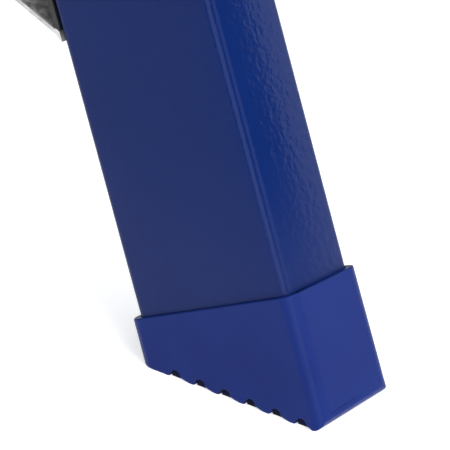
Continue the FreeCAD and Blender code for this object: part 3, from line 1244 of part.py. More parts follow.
core = new_body("roller_tube")
section = new_sketch(core, "XZ_Plane", "roller_section")
bore = "(dims.shaft_round + dims.run_gap + dims.bush_wall)"
skin = "(dims.roller_round - dims.roller_rubber)"
inside = f"({skin} - dims.roller_wall)"
hub_face = f"({ROLLER_HALF} - dims.roller_hub)"
outline(section, [(bore, f"-{ROLLER_HALF}"), (skin, f"-{ROLLER_HALF}"), (skin, ROLLER_HALF),
                  (bore, ROLLER_HALF), (bore, hub_face), (inside, hub_face),
                  (inside, f"-{hub_face}"), (bore, f"-{hub_face}")])
turned_core = core.newObject("PartDesign::Revolution", "roller_turned")
turned_core.Profile = section
turned_core.ReferenceAxis = (section, ["V_Axis"])
node("roller_core", core, shaft_line)
sleeve = rod("sleeve_blank", "dims.roller_round", f"2 * {ROLLER_HALF}", at(0, 0, -roller_half))
sleeve_bore = rod("sleeve_bore", skin, FAR, at(0, 0, -FAR / 2))
node("roller_sleeve", cut("sleeve_bored", sleeve, [sleeve_bore]), shaft_line)
blank = rod("roller_bush_blank", bore, "dims.roller_hub")
bush = cut("roller_bush", blank,
           [rod("roller_bush_bore", "dims.shaft_round + dims.run_gap", FAR, at(0, 0, -FAR / 2))])
hub_width = size("dims.roller_hub")
node("roller_bushes",
     copies("roller_bush_set", bush,
            [shaft_line * at(0, 0, start) for start in (-roller_half, roller_half - hub_width)]))


# ---- move everything to the origin under the middle of the whole, check it and write it ----

doc.recompute()
for solid, place in NODES.values():
    if place is not STILL:
        solid.Placement = place
lows, highs = [], []
for solid, _ in NODES.values():
    extent = solid.Shape.optimalBoundingBox(False)
    lows.append(extent.XMin)
    highs.append(extent.XMax)
middle = (min(lows) + max(highs)) / 2
for solid, place in NODES.values():
    solid.Placement = at(-middle) * place

for thing in doc.Objects:
    if "Invalid" in thing.State or "Error" in thing.State:
        raise RuntimeError(f"{thing.Name} did not build: {thing.State}")
for label, (solid, _) in NODES.items():
    if solid.Shape.isNull() or not solid.Shape.isValid():
        raise RuntimeError(f"{label} has no valid shape")

for label, (solid, _) in NODES.items():
    solid.Shape.exportStep(f"parts/{label}.step")
print(f"{len(NODES)} sub-parts, mid-stand to origin {middle:.3f} mm")
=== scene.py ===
import json
import math

import bmesh
import bpy
from mathutils import Matrix, Vector

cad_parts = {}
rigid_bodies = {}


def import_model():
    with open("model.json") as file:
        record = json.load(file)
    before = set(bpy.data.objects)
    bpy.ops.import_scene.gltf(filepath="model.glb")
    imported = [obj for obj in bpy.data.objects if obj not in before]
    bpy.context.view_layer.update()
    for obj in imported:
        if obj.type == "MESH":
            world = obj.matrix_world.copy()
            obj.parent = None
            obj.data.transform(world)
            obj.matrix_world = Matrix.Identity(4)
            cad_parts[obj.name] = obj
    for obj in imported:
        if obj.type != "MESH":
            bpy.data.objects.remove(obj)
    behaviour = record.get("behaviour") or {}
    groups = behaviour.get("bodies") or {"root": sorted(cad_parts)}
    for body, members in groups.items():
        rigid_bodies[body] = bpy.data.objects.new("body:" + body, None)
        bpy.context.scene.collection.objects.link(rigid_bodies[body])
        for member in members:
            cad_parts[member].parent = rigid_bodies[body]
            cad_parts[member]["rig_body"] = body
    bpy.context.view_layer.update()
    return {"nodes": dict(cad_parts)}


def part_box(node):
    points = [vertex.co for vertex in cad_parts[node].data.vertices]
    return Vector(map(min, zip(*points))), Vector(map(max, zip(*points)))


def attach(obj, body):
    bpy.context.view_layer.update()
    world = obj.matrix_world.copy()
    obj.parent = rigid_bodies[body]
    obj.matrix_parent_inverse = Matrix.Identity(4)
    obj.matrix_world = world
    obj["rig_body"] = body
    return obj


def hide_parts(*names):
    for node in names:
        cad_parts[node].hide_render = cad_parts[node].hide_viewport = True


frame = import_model()
scene = bpy.context.scene


# ---- where the legs stand ----
# Each leg is one straight tube under a side rail, splayed fore and aft and leaning outward. Its place
# has the tube's axis as Z and starts where that axis meets the deck.

LEG_SPLAY = math.radians(22.1)
LEG_LEAN = math.radians(3.76)
LEG_REACH = 0.435
FRONT, REAR, RIGHT, LEFT = 1, -1, -1, 1
END_NAME = {FRONT: "front", REAR: "rear"}
SIDE_NAME = {RIGHT: "right", LEFT: "left"}
CORNERS = [(end, side) for end in (FRONT, REAR) for side in (RIGHT, LEFT)]

rail_low, rail_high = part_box("side_rail_left")
stand_middle = (rail_low.x + rail_high.x) / 2
rail_side = (rail_low.y + rail_high.y) / 2
leg_drop = rail_low.z / (math.cos(LEG_SPLAY) * math.cos(LEG_LEAN))


def side_place(side):
    """One side frame's leaning plane: X along the stand, Z up the lean, from the rail's underside."""
    start = Vector((stand_middle, side * rail_side, rail_low.z))
    return Matrix.Translation(start) @ Matrix.Rotation(side * LEG_LEAN, 4, "X")


def leg_place(end, side):
    """A leg's axis as Z, from the point where it meets the deck."""
    top = side_place(side) @ Matrix.Translation((end * LEG_REACH, 0, 0))
    return top @ Matrix.Rotation(-end * LEG_SPLAY, 4, "Y") @ Matrix.Translation((0, 0, -leg_drop))


# ---- camera: close on the front right foot, from ahead of it and above ----

CAMERA_AZIMUTH = math.radians(38.7)
CAMERA_ELEVATION = math.radians(26.3)
CAMERA_AWAY = 1.247
CAMERA_LENS = 336
AIM_LEFT, AIM_UP = 0.01205, 0.04555

back = Vector((math.sin(CAMERA_AZIMUTH) * math.cos(CAMERA_ELEVATION),
               -math.cos(CAMERA_AZIMUTH) * math.cos(CAMERA_ELEVATION), math.sin(CAMERA_ELEVATION)))
across = Vector((math.cos(CAMERA_AZIMUTH), math.sin(CAMERA_AZIMUTH), 0))
foot_spot = leg_place(FRONT, RIGHT).translation
aim = foot_spot - AIM_LEFT * across + AIM_UP * back.cross(across)
camera = bpy.data.objects.new("camera", bpy.data.cameras.new("camera"))
camera.data.lens = CAMERA_LENS
camera.data.clip_end = 100
camera.location = aim + CAMERA_AWAY * back
camera.rotation_euler = back.to_track_quat("Z", "Y").to_euler()
scene.collection.objects.link(camera)
scene.camera = camera


# ---- studio: a plain white floor under a pale sky, with one broad soft light high in front ----
# The floor glows a little, so that it stays pale under the board. Low in the sky, ahead to the left, is
# a wide card with an upright gap that glossy blue mirrors as a darker stripe; to the right, a narrow one.

FLOOR_HALF = 30
FLOOR_WHITE, FLOOR_GLOW = 0.9, 0.5
SKY_STRENGTH, CARD_STRENGTH, GAP_STRENGTH = 0.52, 2.0, 0.4
CARD_AZIMUTH, CARD_HALF, CARD_SOFT = math.radians(42), math.radians(34), math.radians(14)
CARD_TOP = 0.45
GAP_HALF, GAP_SOFT = math.radians(6), math.radians(3)
NEAR_AZIMUTH, NEAR_HALF, NEAR_STRENGTH = math.radians(-48), math.radians(14), 3.4
KEY_POWER, KEY_WIDE = 190, 3.2
KEY_PLACE = Vector((3.8, -1.1, 3.3))


def linear(red, green, blue):
    """A colour from its 0 to 255 screen values."""
    return tuple(((c / 255 + 0.055) / 1.055) ** 2.4 if c > 10 else c / 255 / 12.92
                 for c in (red, green, blue)) + (1,)


scene.view_settings.view_transform = "Standard"
floor_mesh = bmesh.new()
bmesh.ops.create_grid(floor_mesh, x_segments=1, y_segments=1, size=FLOOR_HALF)
floor_data = bpy.data.meshes.new("floor")
floor_mesh.to_mesh(floor_data)
floor_mesh.free()
floor = bpy.data.objects.new("floor", floor_data)
scene.collection.objects.link(floor)
floor_finish = bpy.data.materials.new("floor")
floor_finish.use_nodes = True
floor_shader = floor_finish.node_tree.nodes["Principled BSDF"]
floor_shader.inputs["Base Color"].default_value = (FLOOR_WHITE, FLOOR_WHITE, FLOOR_WHITE, 1)
floor_shader.inputs["Roughness"].default_value = 0.9
floor_shader.inputs["Specular IOR Level"].default_value = 0.0
floor_shader.inputs["Emission Color"].default_value = (1, 1, 1, 1)
floor_shader.inputs["Emission Strength"].default_value = FLOOR_GLOW
floor_data.materials.append(floor_finish)


def sky_sum(operation, first, second):
    """One step of arithmetic in the sky."""
    step = sky.node_tree.nodes.new("ShaderNodeMath")
    step.operation = operation
    for socket, value in zip(step.inputs, (first, second)):
        if isinstance(value, (int, float)):
            socket.default_value = value
        else:
            sky.node_tree.links.new(value, socket)
    return step.outputs["Value"]


def sky_range(source, low, high):
    """A value in the sky that goes from 0 at low to 1 at high, with soft ends."""
    ranged = sky.node_tree.nodes.new("ShaderNodeMapRange")
    ranged.interpolation_type = "SMOOTHSTEP"
    ranged.inputs["From Min"].default_value = low
    ranged.inputs["From Max"].default_value = high
    sky.node_tree.links.new(source, ranged.inputs["Value"])
    return ranged.outputs["Result"]


sky = bpy.data.worlds.new("sky")
sky.use_nodes = True
way = sky.node_tree.nodes.new("ShaderNodeSeparateXYZ")
direction = sky.node_tree.nodes.new("ShaderNodeTexCoord")
sky.node_tree.links.new(direction.outputs["Generated"], way.inputs["Vector"])
azimuth = sky_sum("ARCTAN2", way.outputs["Y"], way.outputs["X"])
off = sky_sum("ABSOLUTE", sky_sum("SUBTRACT", azimuth, CARD_AZIMUTH), 0)
past_gap = sky_range(off, GAP_HALF, GAP_HALF + GAP_SOFT)
on_card = sky_sum("MULTIPLY", sky_range(off, CARD_HALF + CARD_SOFT, CARD_HALF),
                  sky_range(way.outputs["Z"], CARD_TOP + 0.2, CARD_TOP))
card = sky_sum("ADD", sky_sum("MULTIPLY", past_gap, CARD_STRENGTH - GAP_STRENGTH),
               GAP_STRENGTH - SKY_STRENGTH)
near_off = sky_sum("ABSOLUTE", sky_sum("SUBTRACT", azimuth, NEAR_AZIMUTH), 0)
near_card = sky_sum("MULTIPLY", sky_range(near_off, NEAR_HALF + CARD_SOFT, NEAR_HALF),
                    sky_range(way.outputs["Z"], CARD_TOP + 0.3, CARD_TOP + 0.1))
strength = sky_sum("ADD", sky_sum("MULTIPLY", card, on_card), SKY_STRENGTH)
strength = sky_sum("ADD", sky_sum("MULTIPLY", near_card, NEAR_STRENGTH - SKY_STRENGTH), strength)
sky.node_tree.links.new(strength, sky.node_tree.nodes["Background"].inputs["Strength"])
sky.node_tree.nodes["Background"].inputs["Color"].default_value = (1, 1, 1, 1)
scene.world = sky
key = bpy.data.objects.new("key", bpy.data.lights.new("key", "AREA"))
key.data.energy = KEY_POWER
key.data.size = KEY_WIDE
key.location = KEY_PLACE
key.rotation_euler = (KEY_PLACE - foot_spot).to_track_quat("Z", "Y").to_euler()
scene.collection.objects.link(key)


# ---- legs: rectangular steel tube with rounded corners, powder coated a glossy blue ----
# The coat has flowed to a fine orange peel, and the tube's faces are very slightly crowned. Each tube
# is cut level at both ends, welded up under a side rail, and stands in a moulded foot.

TUBE_WIDE, TUBE_NARROW, TUBE_CORNER = 0.060, 0.030, 0.003
FACE_CROWN, CROWN_CUTS = 0.00035, (-0.66, -0.33, 0, 0.33, 0.66)
SOLE_THICK = 0.007
PEEL_SIZE, PEEL_DEEP = 0.0021, 0.00010
# Heights of the painted sheen low on the legs, where the coat is also duller.
SHEEN_BAND_TOP, SHEEN_BAND_LOW = 0.080, 0.030
EASE = 0.0004


def new_finish(name, colour, roughness, metallic=0.0):
    """A new material and its shader, with its plain values set."""
    finish = bpy.data.materials.new(name)
    finish.use_nodes = True
    shader = finish.node_tree.nodes["Principled BSDF"]
    shader.inputs["Base Color"].default_value = colour
    shader.inputs["Roughness"].default_value = roughness
    shader.inputs["Metallic"].default_value = metallic
    return finish, shader


def own_place(finish, stretch=(1, 1, 1)):
    """The piece's own coordinates, stretched if need be."""
    place = finish.node_tree.nodes.new("ShaderNodeTexCoord")
    mapping = finish.node_tree.nodes.new("ShaderNodeMapping")
    mapping.inputs["Scale"].default_value = stretch
    finish.node_tree.links.new(place.outputs["Object"], mapping.inputs["Vector"])
    return mapping.outputs["Vector"]


def speckle(finish, feature, detail=2.0, stretch=(1, 1, 1)):
    """Soft noise with features of a given size in metres."""
    noise = finish.node_tree.nodes.new("ShaderNodeTexNoise")
    noise.inputs["Scale"].default_value = 1 / feature
    noise.inputs["Detail"].default_value = detail
    finish.node_tree.links.new(own_place(finish, stretch), noise.inputs["Vector"])
    return noise.outputs["Fac"]


def spread(finish, source, low, high, out_low=0.0, out_high=1.0):
    """A value stretched from one range to another."""
    ranged = finish.node_tree.nodes.new("ShaderNodeMapRange")
    for name, number in (("From Min", low), ("From Max", high), ("To Min", out_low), ("To Max", out_high)):
        ranged.inputs[name].default_value = number
    finish.node_tree.links.new(source, ranged.inputs["Value"])
    return ranged.outputs["Result"]


def height_up(finish, low, high, out_low=0.0, out_high=1.0):
    """A value that follows the height over the deck, from one height to another."""
    split = finish.node_tree.nodes.new("ShaderNodeSeparateXYZ")
    finish.node_tree.links.new(own_place(finish), split.inputs["Vector"])
    level = spread(finish, split.outputs["Z"], low, high, out_low, out_high)
    level.node.interpolation_type = "SMOOTHSTEP"
    return level


def tint(finish, factor, first, second):
    """A colour that goes from the first to the second as the factor goes from 0 to 1."""
    mix = finish.node_tree.nodes.new("ShaderNodeMix")
    mix.data_type = "RGBA"
    finish.node_tree.links.new(factor, mix.inputs["Factor"])
    for name, colour in (("A", first), ("B", second)):
        socket = next(s for s in mix.inputs if s.name == name and s.type == "RGBA")
        if isinstance(colour, tuple):
            socket.default_value = colour
        else:
            finish.node_tree.links.new(colour, socket)
    return next(s for s in mix.outputs if s.type == "RGBA")


def relief(finish, shader, height, depth, under=None):
    """Bumps of a given depth in metres, on top of any others."""
    bump = finish.node_tree.nodes.new("ShaderNodeBump")
    bump.inputs["Distance"].default_value = depth
    finish.node_tree.links.new(height, bump.inputs["Height"])
    if under is not None:
        finish.node_tree.links.new(under, bump.inputs["Normal"])
    finish.node_tree.links.new(bump.outputs["Normal"], shader.inputs["Normal"])
    return bump.outputs["Normal"]


def drifting(finish, shader, feature, first, second, detail=3.0):
    """Base colour that drifts between two tones over a given distance."""
    tone = spread(finish, speckle(finish, feature, detail), 0.35, 0.65)
    colour = tint(finish, tone, first, second)
    finish.node_tree.links.new(colour, shader.inputs["Base Color"])
    return colour


def uneven_gloss(finish, shader, feature, low, high, stretch=(1, 1, 1)):
    """Roughness that wanders between two values over a given distance."""
    rough = spread(finish, speckle(finish, feature, 3, stretch), 0.3, 0.7, low, high)
    finish.node_tree.links.new(rough, shader.inputs["Roughness"])
    return rough


def powder_coat():
    """Glossy blue powder coat: orange peel, a slow drift of tone, and low down a painted sheen that makes
    it paler and greyer, with a duller gloss there.
    """
    finish, shader = new_finish("blue_coating", linear(8, 40, 104), 0.2)
    shader.inputs["Specular IOR Level"].default_value = 0.11
    colour = drifting(finish, shader, 0.09, linear(1, 26, 80), linear(2, 29, 85))
    # Painted sheen: the coat turns paler and greyer towards the bottom, as if lit by the floor below.
    low_sheen = height_up(finish, SHEEN_BAND_TOP, SHEEN_BAND_LOW, 0, 0.16)
    colour = tint(finish, low_sheen, colour, linear(46, 50, 92))
    finish.node_tree.links.new(colour, shader.inputs["Base Color"])
    gloss = height_up(finish, SHEEN_BAND_TOP, SHEEN_BAND_LOW, 0.11, 0.28)
    finish.node_tree.links.new(gloss, shader.inputs["Roughness"])
    relief(finish, shader, speckle(finish, PEEL_SIZE, 1.5), PEEL_DEEP)
    return finish


def new_piece(name, shape, finish, sharp=35):
    """A finished shape as an object at the origin, smooth in the light except at sharp edges."""
    mesh = bpy.data.meshes.new(name)
    for face in shape.faces:
        face.smooth = True
    for edge in shape.edges:
        edge.smooth = edge.calc_face_angle(0) < math.radians(sharp)
    shape.to_mesh(mesh)
    shape.free()
    mesh.materials.append(finish)
    piece = bpy.data.objects.new(name, mesh)
    scene.collection.objects.link(piece)
    return piece


def settle(piece, node):
    """Put a finished piece on the body of the CAD piece that it stands for."""
    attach(piece, frame["nodes"][node]["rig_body"])
    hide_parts(node)


def slice_off(shape, point, normal):
    """Cut away what lies past a plane and close the cut."""
    everything = shape.verts[:] + shape.edges[:] + shape.faces[:]
    cut = bmesh.ops.bisect_plane(shape, geom=everything, dist=1e-7, plane_co=point, plane_no=normal,
                                 clear_outer=True)["geom_cut"]
    bmesh.ops.contextual_create(shape, geom=[item for item in cut if isinstance(item, bmesh.types.BMEdge)])


def crowned(shape, half_wide, half_narrow, crown):
    """Split a tube's flat faces lengthwise and swell each by a small crown."""
    flat_wide, flat_narrow = half_wide - TUBE_CORNER, half_narrow - TUBE_CORNER
    for share in CROWN_CUTS:
        for normal, flat in (((1, 0, 0), flat_wide), ((0, 1, 0), flat_narrow)):
            everything = shape.verts[:] + shape.edges[:] + shape.faces[:]
            bmesh.ops.bisect_plane(shape, geom=everything, dist=1e-7, plane_no=normal,
                                   plane_co=Vector(normal) * share * flat)
    for vert in shape.verts:
        if abs(vert.co.y) > half_narrow - 1e-6:
            vert.co.y += math.copysign(crown * (1 - (vert.co.x / flat_wide) ** 2), vert.co.y)
        elif abs(vert.co.x) > half_wide - 1e-6:
            vert.co.x += math.copysign(crown * (1 - (vert.co.y / flat_narrow) ** 2), vert.co.x)


blue_coat = powder_coat()
for end, side in CORNERS:
    tube = bmesh.new()
    bmesh.ops.create_cube(tube, size=2)
    bmesh.ops.scale(tube, vec=(TUBE_WIDE / 2, TUBE_NARROW / 2, leg_drop), verts=tube.verts)
    uprights = [edge for edge in tube.edges if edge.calc_length() > leg_drop]
    bmesh.ops.bevel(tube, geom=uprights, offset=TUBE_CORNER, offset_type="OFFSET", affect="EDGES",
                    segments=6, profile=0.5, material=-1)
    crowned(tube, TUBE_WIDE / 2, TUBE_NARROW / 2, FACE_CROWN)
    bmesh.ops.transform(tube, matrix=leg_place(end, side) @ Matrix.Translation((0, 0, leg_drop / 2)),
                        verts=tube.verts)
    slice_off(tube, (0, 0, rail_low.z), (0, 0, 1))
    slice_off(tube, (0, 0, SOLE_THICK), (0, 0, -1))
    bmesh.ops.recalc_face_normals(tube, faces=tube.faces)
    label = f"leg_{END_NAME[end]}_{SIDE_NAME[side]}"
    settle(new_piece(f"{label}_tube", tube, blue_coat), label)


# ---- feet: slip-on caps in blue moulded plastic, square to the leg at the rim ----
# The sole is level with the deck and has seven ribs across it, with painted shade in the grooves between
# them: near-black walls and a dark fill.
# The walls are drafted, the corners are broad, and a thin gap shows round the tube at the rim.

FOOT_WALL, FOOT_GAP, FOOT_THICKER = 0.0015, 0.0002, 0.0010
FOOT_RIM, FOOT_SKIRT = 0.0264, 0.040
FOOT_DRAFT, FOOT_FLARE = math.radians(0.35), math.radians(0.3)
RIM_LIFT, RIM_TILT, RIM_BAND = 0.0006, 0.033, 0.001
FOOT_CORNER, CORNER_STEPS = 0.0047, 10
RIM_ROUND = 0.0005
GROOVES, GROOVE_PITCH, GROOVE_FIRST = 6, 0.00945, -0.02092
GROOVE_ROUND, GROOVE_RISE = 0.00175, 0.0008
SHORT_SHOULDER, LONG_SHOULDER = 0.0012, 0.0045
TOE_ROUND, HEEL_ROUND, ROUND_STEPS = 0.0036, 0.0035, 10
TOE_FALL, HEEL_RISE = 0.0132, 0.0130
SOLE_STEP = 0.00045
# Sizes of the dark fill in the grooves and of the walls painted near-black as groove shade.
SHADE_FILL_INSET, SHADE_FILL_CLEAR, SHADE_FILL_STEPS = 0.0008, 0.0002, 8
SHADE_FILL_ROUND, SHADE_FILL_FOOT = 1.02 * GROOVE_ROUND, 0.9 * GROOVE_ROUND
SHADED_WALL_LOW, SHADED_WALL_HIGH, SHADED_WALL_HALF = 0.0008, 0.0030, 1.1 * GROOVE_ROUND


def moulding():
    """Blue moulded plastic: a fine satin skin with faint flow marks."""
    finish, shader = new_finish("blue_moulding", linear(20, 40, 110), 0.4)
    shader.inputs["Specular IOR Level"].default_value = 0.13
    drifting(finish, shader, 0.02, linear(4, 28, 93), linear(7, 32, 98), 4)
    uneven_gloss(finish, shader, 0.004, 0.34, 0.46)
    relief(finish, shader, speckle(finish, 0.0006, 2), 0.00002)
    return finish


def painted_groove_shade():
    """Painted shade: a near-black finish that stands for the shadow in a sole's grooves."""
    finish, shader = new_finish("painted_groove_shade", linear(6, 12, 40), 0.8)
    shader.inputs["Specular IOR Level"].default_value = 0.1
    drifting(finish, shader, 0.002, linear(3, 8, 30), linear(8, 16, 48))
    relief(finish, shader, speckle(finish, 0.0004, 3), 0.00005)
    return finish


def sole_height(along):
    """How high the ribbed sole stands over the deck at a distance from the leg's ground point."""
    nearest = min(max(round((along - GROOVE_FIRST) / GROOVE_PITCH), 0), GROOVES - 1)
    off = along - GROOVE_FIRST - nearest * GROOVE_PITCH
    shoulder = LONG_SHOULDER if off > 0 else SHORT_SHOULDER
    if abs(off) < GROOVE_ROUND:
        return GROOVE_RISE + math.sqrt(GROOVE_ROUND ** 2 - off ** 2)
    return GROOVE_RISE * max(1 - (abs(off) - GROOVE_ROUND) / shoulder, 0) ** 2


def outer_half(long, height, draft):
    """Half the cap's outer width at a height along the leg's axis, thicker at the narrow ends."""
    thicker = FOOT_THICKER if long == TUBE_WIDE else 0
    return long / 2 + FOOT_WALL + thicker + FOOT_GAP + (FOOT_RIM - height) * math.tan(draft)


def foot_cap(end, side):
    """One cap: a drafted block with broad corners and a socket for the tube."""
    place = leg_place(end, side)
    cap = bmesh.new()
    bmesh.ops.create_cube(cap, size=2)
    for corner in cap.verts:
        height = FOOT_RIM if corner.co.z > 0 else -FOOT_SKIRT
        corner.co.x *= outer_half(TUBE_WIDE, height, FOOT_DRAFT)
        corner.co.y *= outer_half(TUBE_NARROW, height, FOOT_FLARE)
        corner.co.z = height
    uprights = [edge for edge in cap.edges if edge.calc_length() > FOOT_RIM + FOOT_SKIRT]
    bmesh.ops.bevel(cap, geom=uprights, offset=FOOT_CORNER, offset_type="OFFSET", affect="EDGES",
                    segments=CORNER_STEPS, profile=0.5, material=-1)
    rim = max(cap.faces, key=lambda face: face.calc_center_median().z)
    bmesh.ops.inset_region(cap, faces=[rim], thickness=FOOT_WALL, use_even_offset=True)
    for vert in rim.verts:
        vert.co.x -= math.copysign(FOOT_THICKER, vert.co.x)
    pulled = bmesh.ops.extrude_face_region(cap, geom=[rim])["geom"]
    bmesh.ops.delete(cap, geom=[rim], context="FACES_KEEP_BOUNDARY")
    for vert in (item for item in pulled if isinstance(item, bmesh.types.BMVert)):
        vert.co.z = (SOLE_THICK - (place @ Vector((vert.co.x, vert.co.y, 0))).z) / place.col[2].z
    lips = [edge for edge in cap.edges
            if all(abs(vert.co.z - FOOT_RIM) < 1e-6 for vert in edge.verts)
            and edge.calc_face_angle(0) > math.radians(60)]
    bmesh.ops.bevel(cap, geom=lips, offset=RIM_ROUND, offset_type="OFFSET", affect="EDGES",
                    segments=5, profile=0.5, material=-1)
    for vert in cap.verts:
        if vert.co.z > FOOT_RIM - RIM_BAND:
            vert.co.z += RIM_LIFT + RIM_TILT * vert.co.x * end
    bmesh.ops.transform(cap, matrix=place, verts=cap.verts)
    bmesh.ops.recalc_face_normals(cap, faces=cap.faces)
    return new_piece(f"foot_cap_{END_NAME[end]}_{SIDE_NAME[side]}", cap, plastic)


def pushed(shape, points, way):
    """A flat outline as a face, pushed out into a solid."""
    face = shape.faces.new([shape.verts.new(point) for point in points])
    pulled = bmesh.ops.extrude_face_region(shape, geom=[face])["geom"]
    moved = [item for item in pulled if isinstance(item, bmesh.types.BMVert)]
    bmesh.ops.translate(shape, verts=moved, vec=way)


def sole_cutter(end, side):
    """All space under the ribbed sole and round its toe and heel, as a block across the foot."""
    spot = leg_place(end, side).translation
    splay_cos, splay_sin = math.cos(LEG_SPLAY), math.sin(LEG_SPLAY)
    toe = outer_half(TUBE_WIDE, -TOE_FALL, FOOT_DRAFT) * splay_cos + TOE_FALL * splay_sin
    heel = -outer_half(TUBE_WIDE, HEEL_RISE, FOOT_DRAFT) * splay_cos - HEEL_RISE * splay_sin
    toe_turn, heel_turn = LEG_SPLAY + FOOT_DRAFT, LEG_SPLAY - FOOT_DRAFT
    toe_middle = toe - TOE_ROUND * (1 + math.sin(toe_turn)) / math.cos(toe_turn)
    heel_middle = heel + HEEL_ROUND * (1 - math.sin(heel_turn)) / math.cos(heel_turn)
    clear, deep, points = 0.02, 0.07, []
    heel_sweep, toe_sweep = math.pi / 2 - heel_turn, math.pi / 2 + toe_turn
    for step in range(ROUND_STEPS + 1):
        angle = -math.pi / 2 - heel_sweep * (1 - step / ROUND_STEPS)
        points.append((heel_middle + HEEL_ROUND * math.cos(angle), HEEL_ROUND * (1 + math.sin(angle))))
    count = round((toe_middle - heel_middle) / SOLE_STEP)
    for step in range(1, count):
        along = heel_middle + (toe_middle - heel_middle) * step / count
        points.append((along, sole_height(along)))
    for step in range(ROUND_STEPS + 1):
        angle = -math.pi / 2 + toe_sweep * step / ROUND_STEPS
        points.append((toe_middle + TOE_ROUND * math.cos(angle), TOE_ROUND * (1 + math.sin(angle))))
    points.insert(0, (heel - clear, points[0][1]))
    points += [(toe + clear, points[-1][1]), (toe + clear, -deep), (heel - clear, -deep)]
    cutter = bmesh.new()
    outline = [(spot.x + end * along, spot.y - TUBE_WIDE, height) for along, height in points]
    pushed(cutter, outline, (0, 2 * TUBE_WIDE, 0))
    bmesh.ops.recalc_face_normals(cutter, faces=cutter.faces)
    return new_piece("sole_cutter", cutter, plastic)


def dark_groove_fill(end, side):
    """A dark fill in a sole's grooves that paints their shade, set back a little from their mouths."""
    spot = leg_place(end, side).translation
    half = outer_half(TUBE_NARROW, 0, FOOT_FLARE) / math.cos(LEG_LEAN) - SHADE_FILL_INSET
    shade_fill = bmesh.new()
    for number in range(GROOVES):
        middle = GROOVE_FIRST + number * GROOVE_PITCH
        outline = [(-SHADE_FILL_FOOT, SHADE_FILL_CLEAR)]
        for step in range(SHADE_FILL_STEPS + 1):
            angle = math.pi * (1 - step / SHADE_FILL_STEPS)
            outline.append((SHADE_FILL_ROUND * math.cos(angle), GROOVE_RISE + SHADE_FILL_ROUND * math.sin(angle)))
        outline.append((SHADE_FILL_FOOT, SHADE_FILL_CLEAR))
        points = [(spot.x + end * (middle + x), spot.y - half, z) for x, z in outline]
        pushed(shade_fill, points, (0, 2 * half, 0))
    bmesh.ops.recalc_face_normals(shade_fill, faces=shade_fill.faces)
    piece = new_piece(f"sole_groove_shade_{END_NAME[end]}_{SIDE_NAME[side]}", shade_fill, groove_shade)
    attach(piece, "stand")


def apply_modifiers(piece):
    """Keep what the piece's modifiers make as its own mesh."""
    graph = bpy.context.evaluated_depsgraph_get()
    finished = bpy.data.meshes.new_from_object(piece.evaluated_get(graph))
    piece.modifiers.clear()
    piece.data = finished


def soft_edges(piece, width, sharp=35, segments=2, clamp=False):
    """A small round on every sharp edge, with flat faces kept flat in the light."""
    bevel = piece.modifiers.new("eased_edges", "BEVEL")
    bevel.width = width
    bevel.segments = segments
    bevel.limit_method = "ANGLE"
    bevel.angle_limit = math.radians(sharp)
    bevel.use_clamp_overlap = clamp
    bevel.miter_outer = "MITER_ARC"
    piece.modifiers.new("flat_faces", "WEIGHTED_NORMAL").keep_sharp = False


def shade_groove_walls(cap):
    """Paint the walls of a sole's grooves near-black as painted shade."""
    cap.data.materials.append(groove_shade)
    for face in cap.data.polygons:
        if SHADED_WALL_LOW < face.center.z < SHADED_WALL_HIGH and abs(face.normal.y) < 0.3:
            middle = (face.center.x - stand_middle) * (1 if face.center.x > stand_middle else -1)
            off = (middle - ground_reach - GROOVE_FIRST) % GROOVE_PITCH
            if min(off, GROOVE_PITCH - off) < SHADED_WALL_HALF:
                face.material_index = 1


# The second finish here is the painted shade for the sole's grooves.
plastic, groove_shade = moulding(), painted_groove_shade()
ground_reach = leg_place(FRONT, RIGHT).translation.x - stand_middle
for end, side in CORNERS:
    cap, cutter = foot_cap(end, side), sole_cutter(end, side)
    carve = cap.modifiers.new("sole", "BOOLEAN")
    carve.operation = "DIFFERENCE"
    carve.solver = "EXACT"
    carve.object = cutter
    apply_modifiers(cap)
    bpy.data.objects.remove(cutter)
    # The groove walls are painted near-black as shade.
    shade_groove_walls(cap)
    soft_edges(cap, 0.0004, sharp=50, segments=3)
    settle(cap, f"foot_{END_NAME[end]}_{SIDE_NAME[side]}")
    # A dark fill in each groove, as painted shade.
    dark_groove_fill(end, side)


# ---- weld beads: where the legs, the crossbeams and the tie meet what they are welded to ----
# Each is one rippled run all round the joint, laid before the frame was coated.

BEAD_ROUND, BEAD_RIPPLE, BEAD_RIPPLE_DEEP = 0.0019, 0.0026, 0.14
BEAD_STEP, BEAD_SIDES, BEAD_UNDER = 0.00055, 8, 0.0006


def ringed_tube(sides, steps):
    """A straight open tube of radius 1 and length 1 along Z, split into rings."""
    tube = bmesh.new()
    bmesh.ops.create_cone(tube, cap_ends=False, segments=sides, radius1=1, radius2=1, depth=1,
                          matrix=Matrix.Translation((0, 0, 0.5)))
    uprights = [edge for edge in tube.edges if abs(edge.verts[0].co.z - edge.verts[1].co.z) > 0.5]
    bmesh.ops.subdivide_edges(tube, edges=uprights, cuts=steps - 1)
    return tube


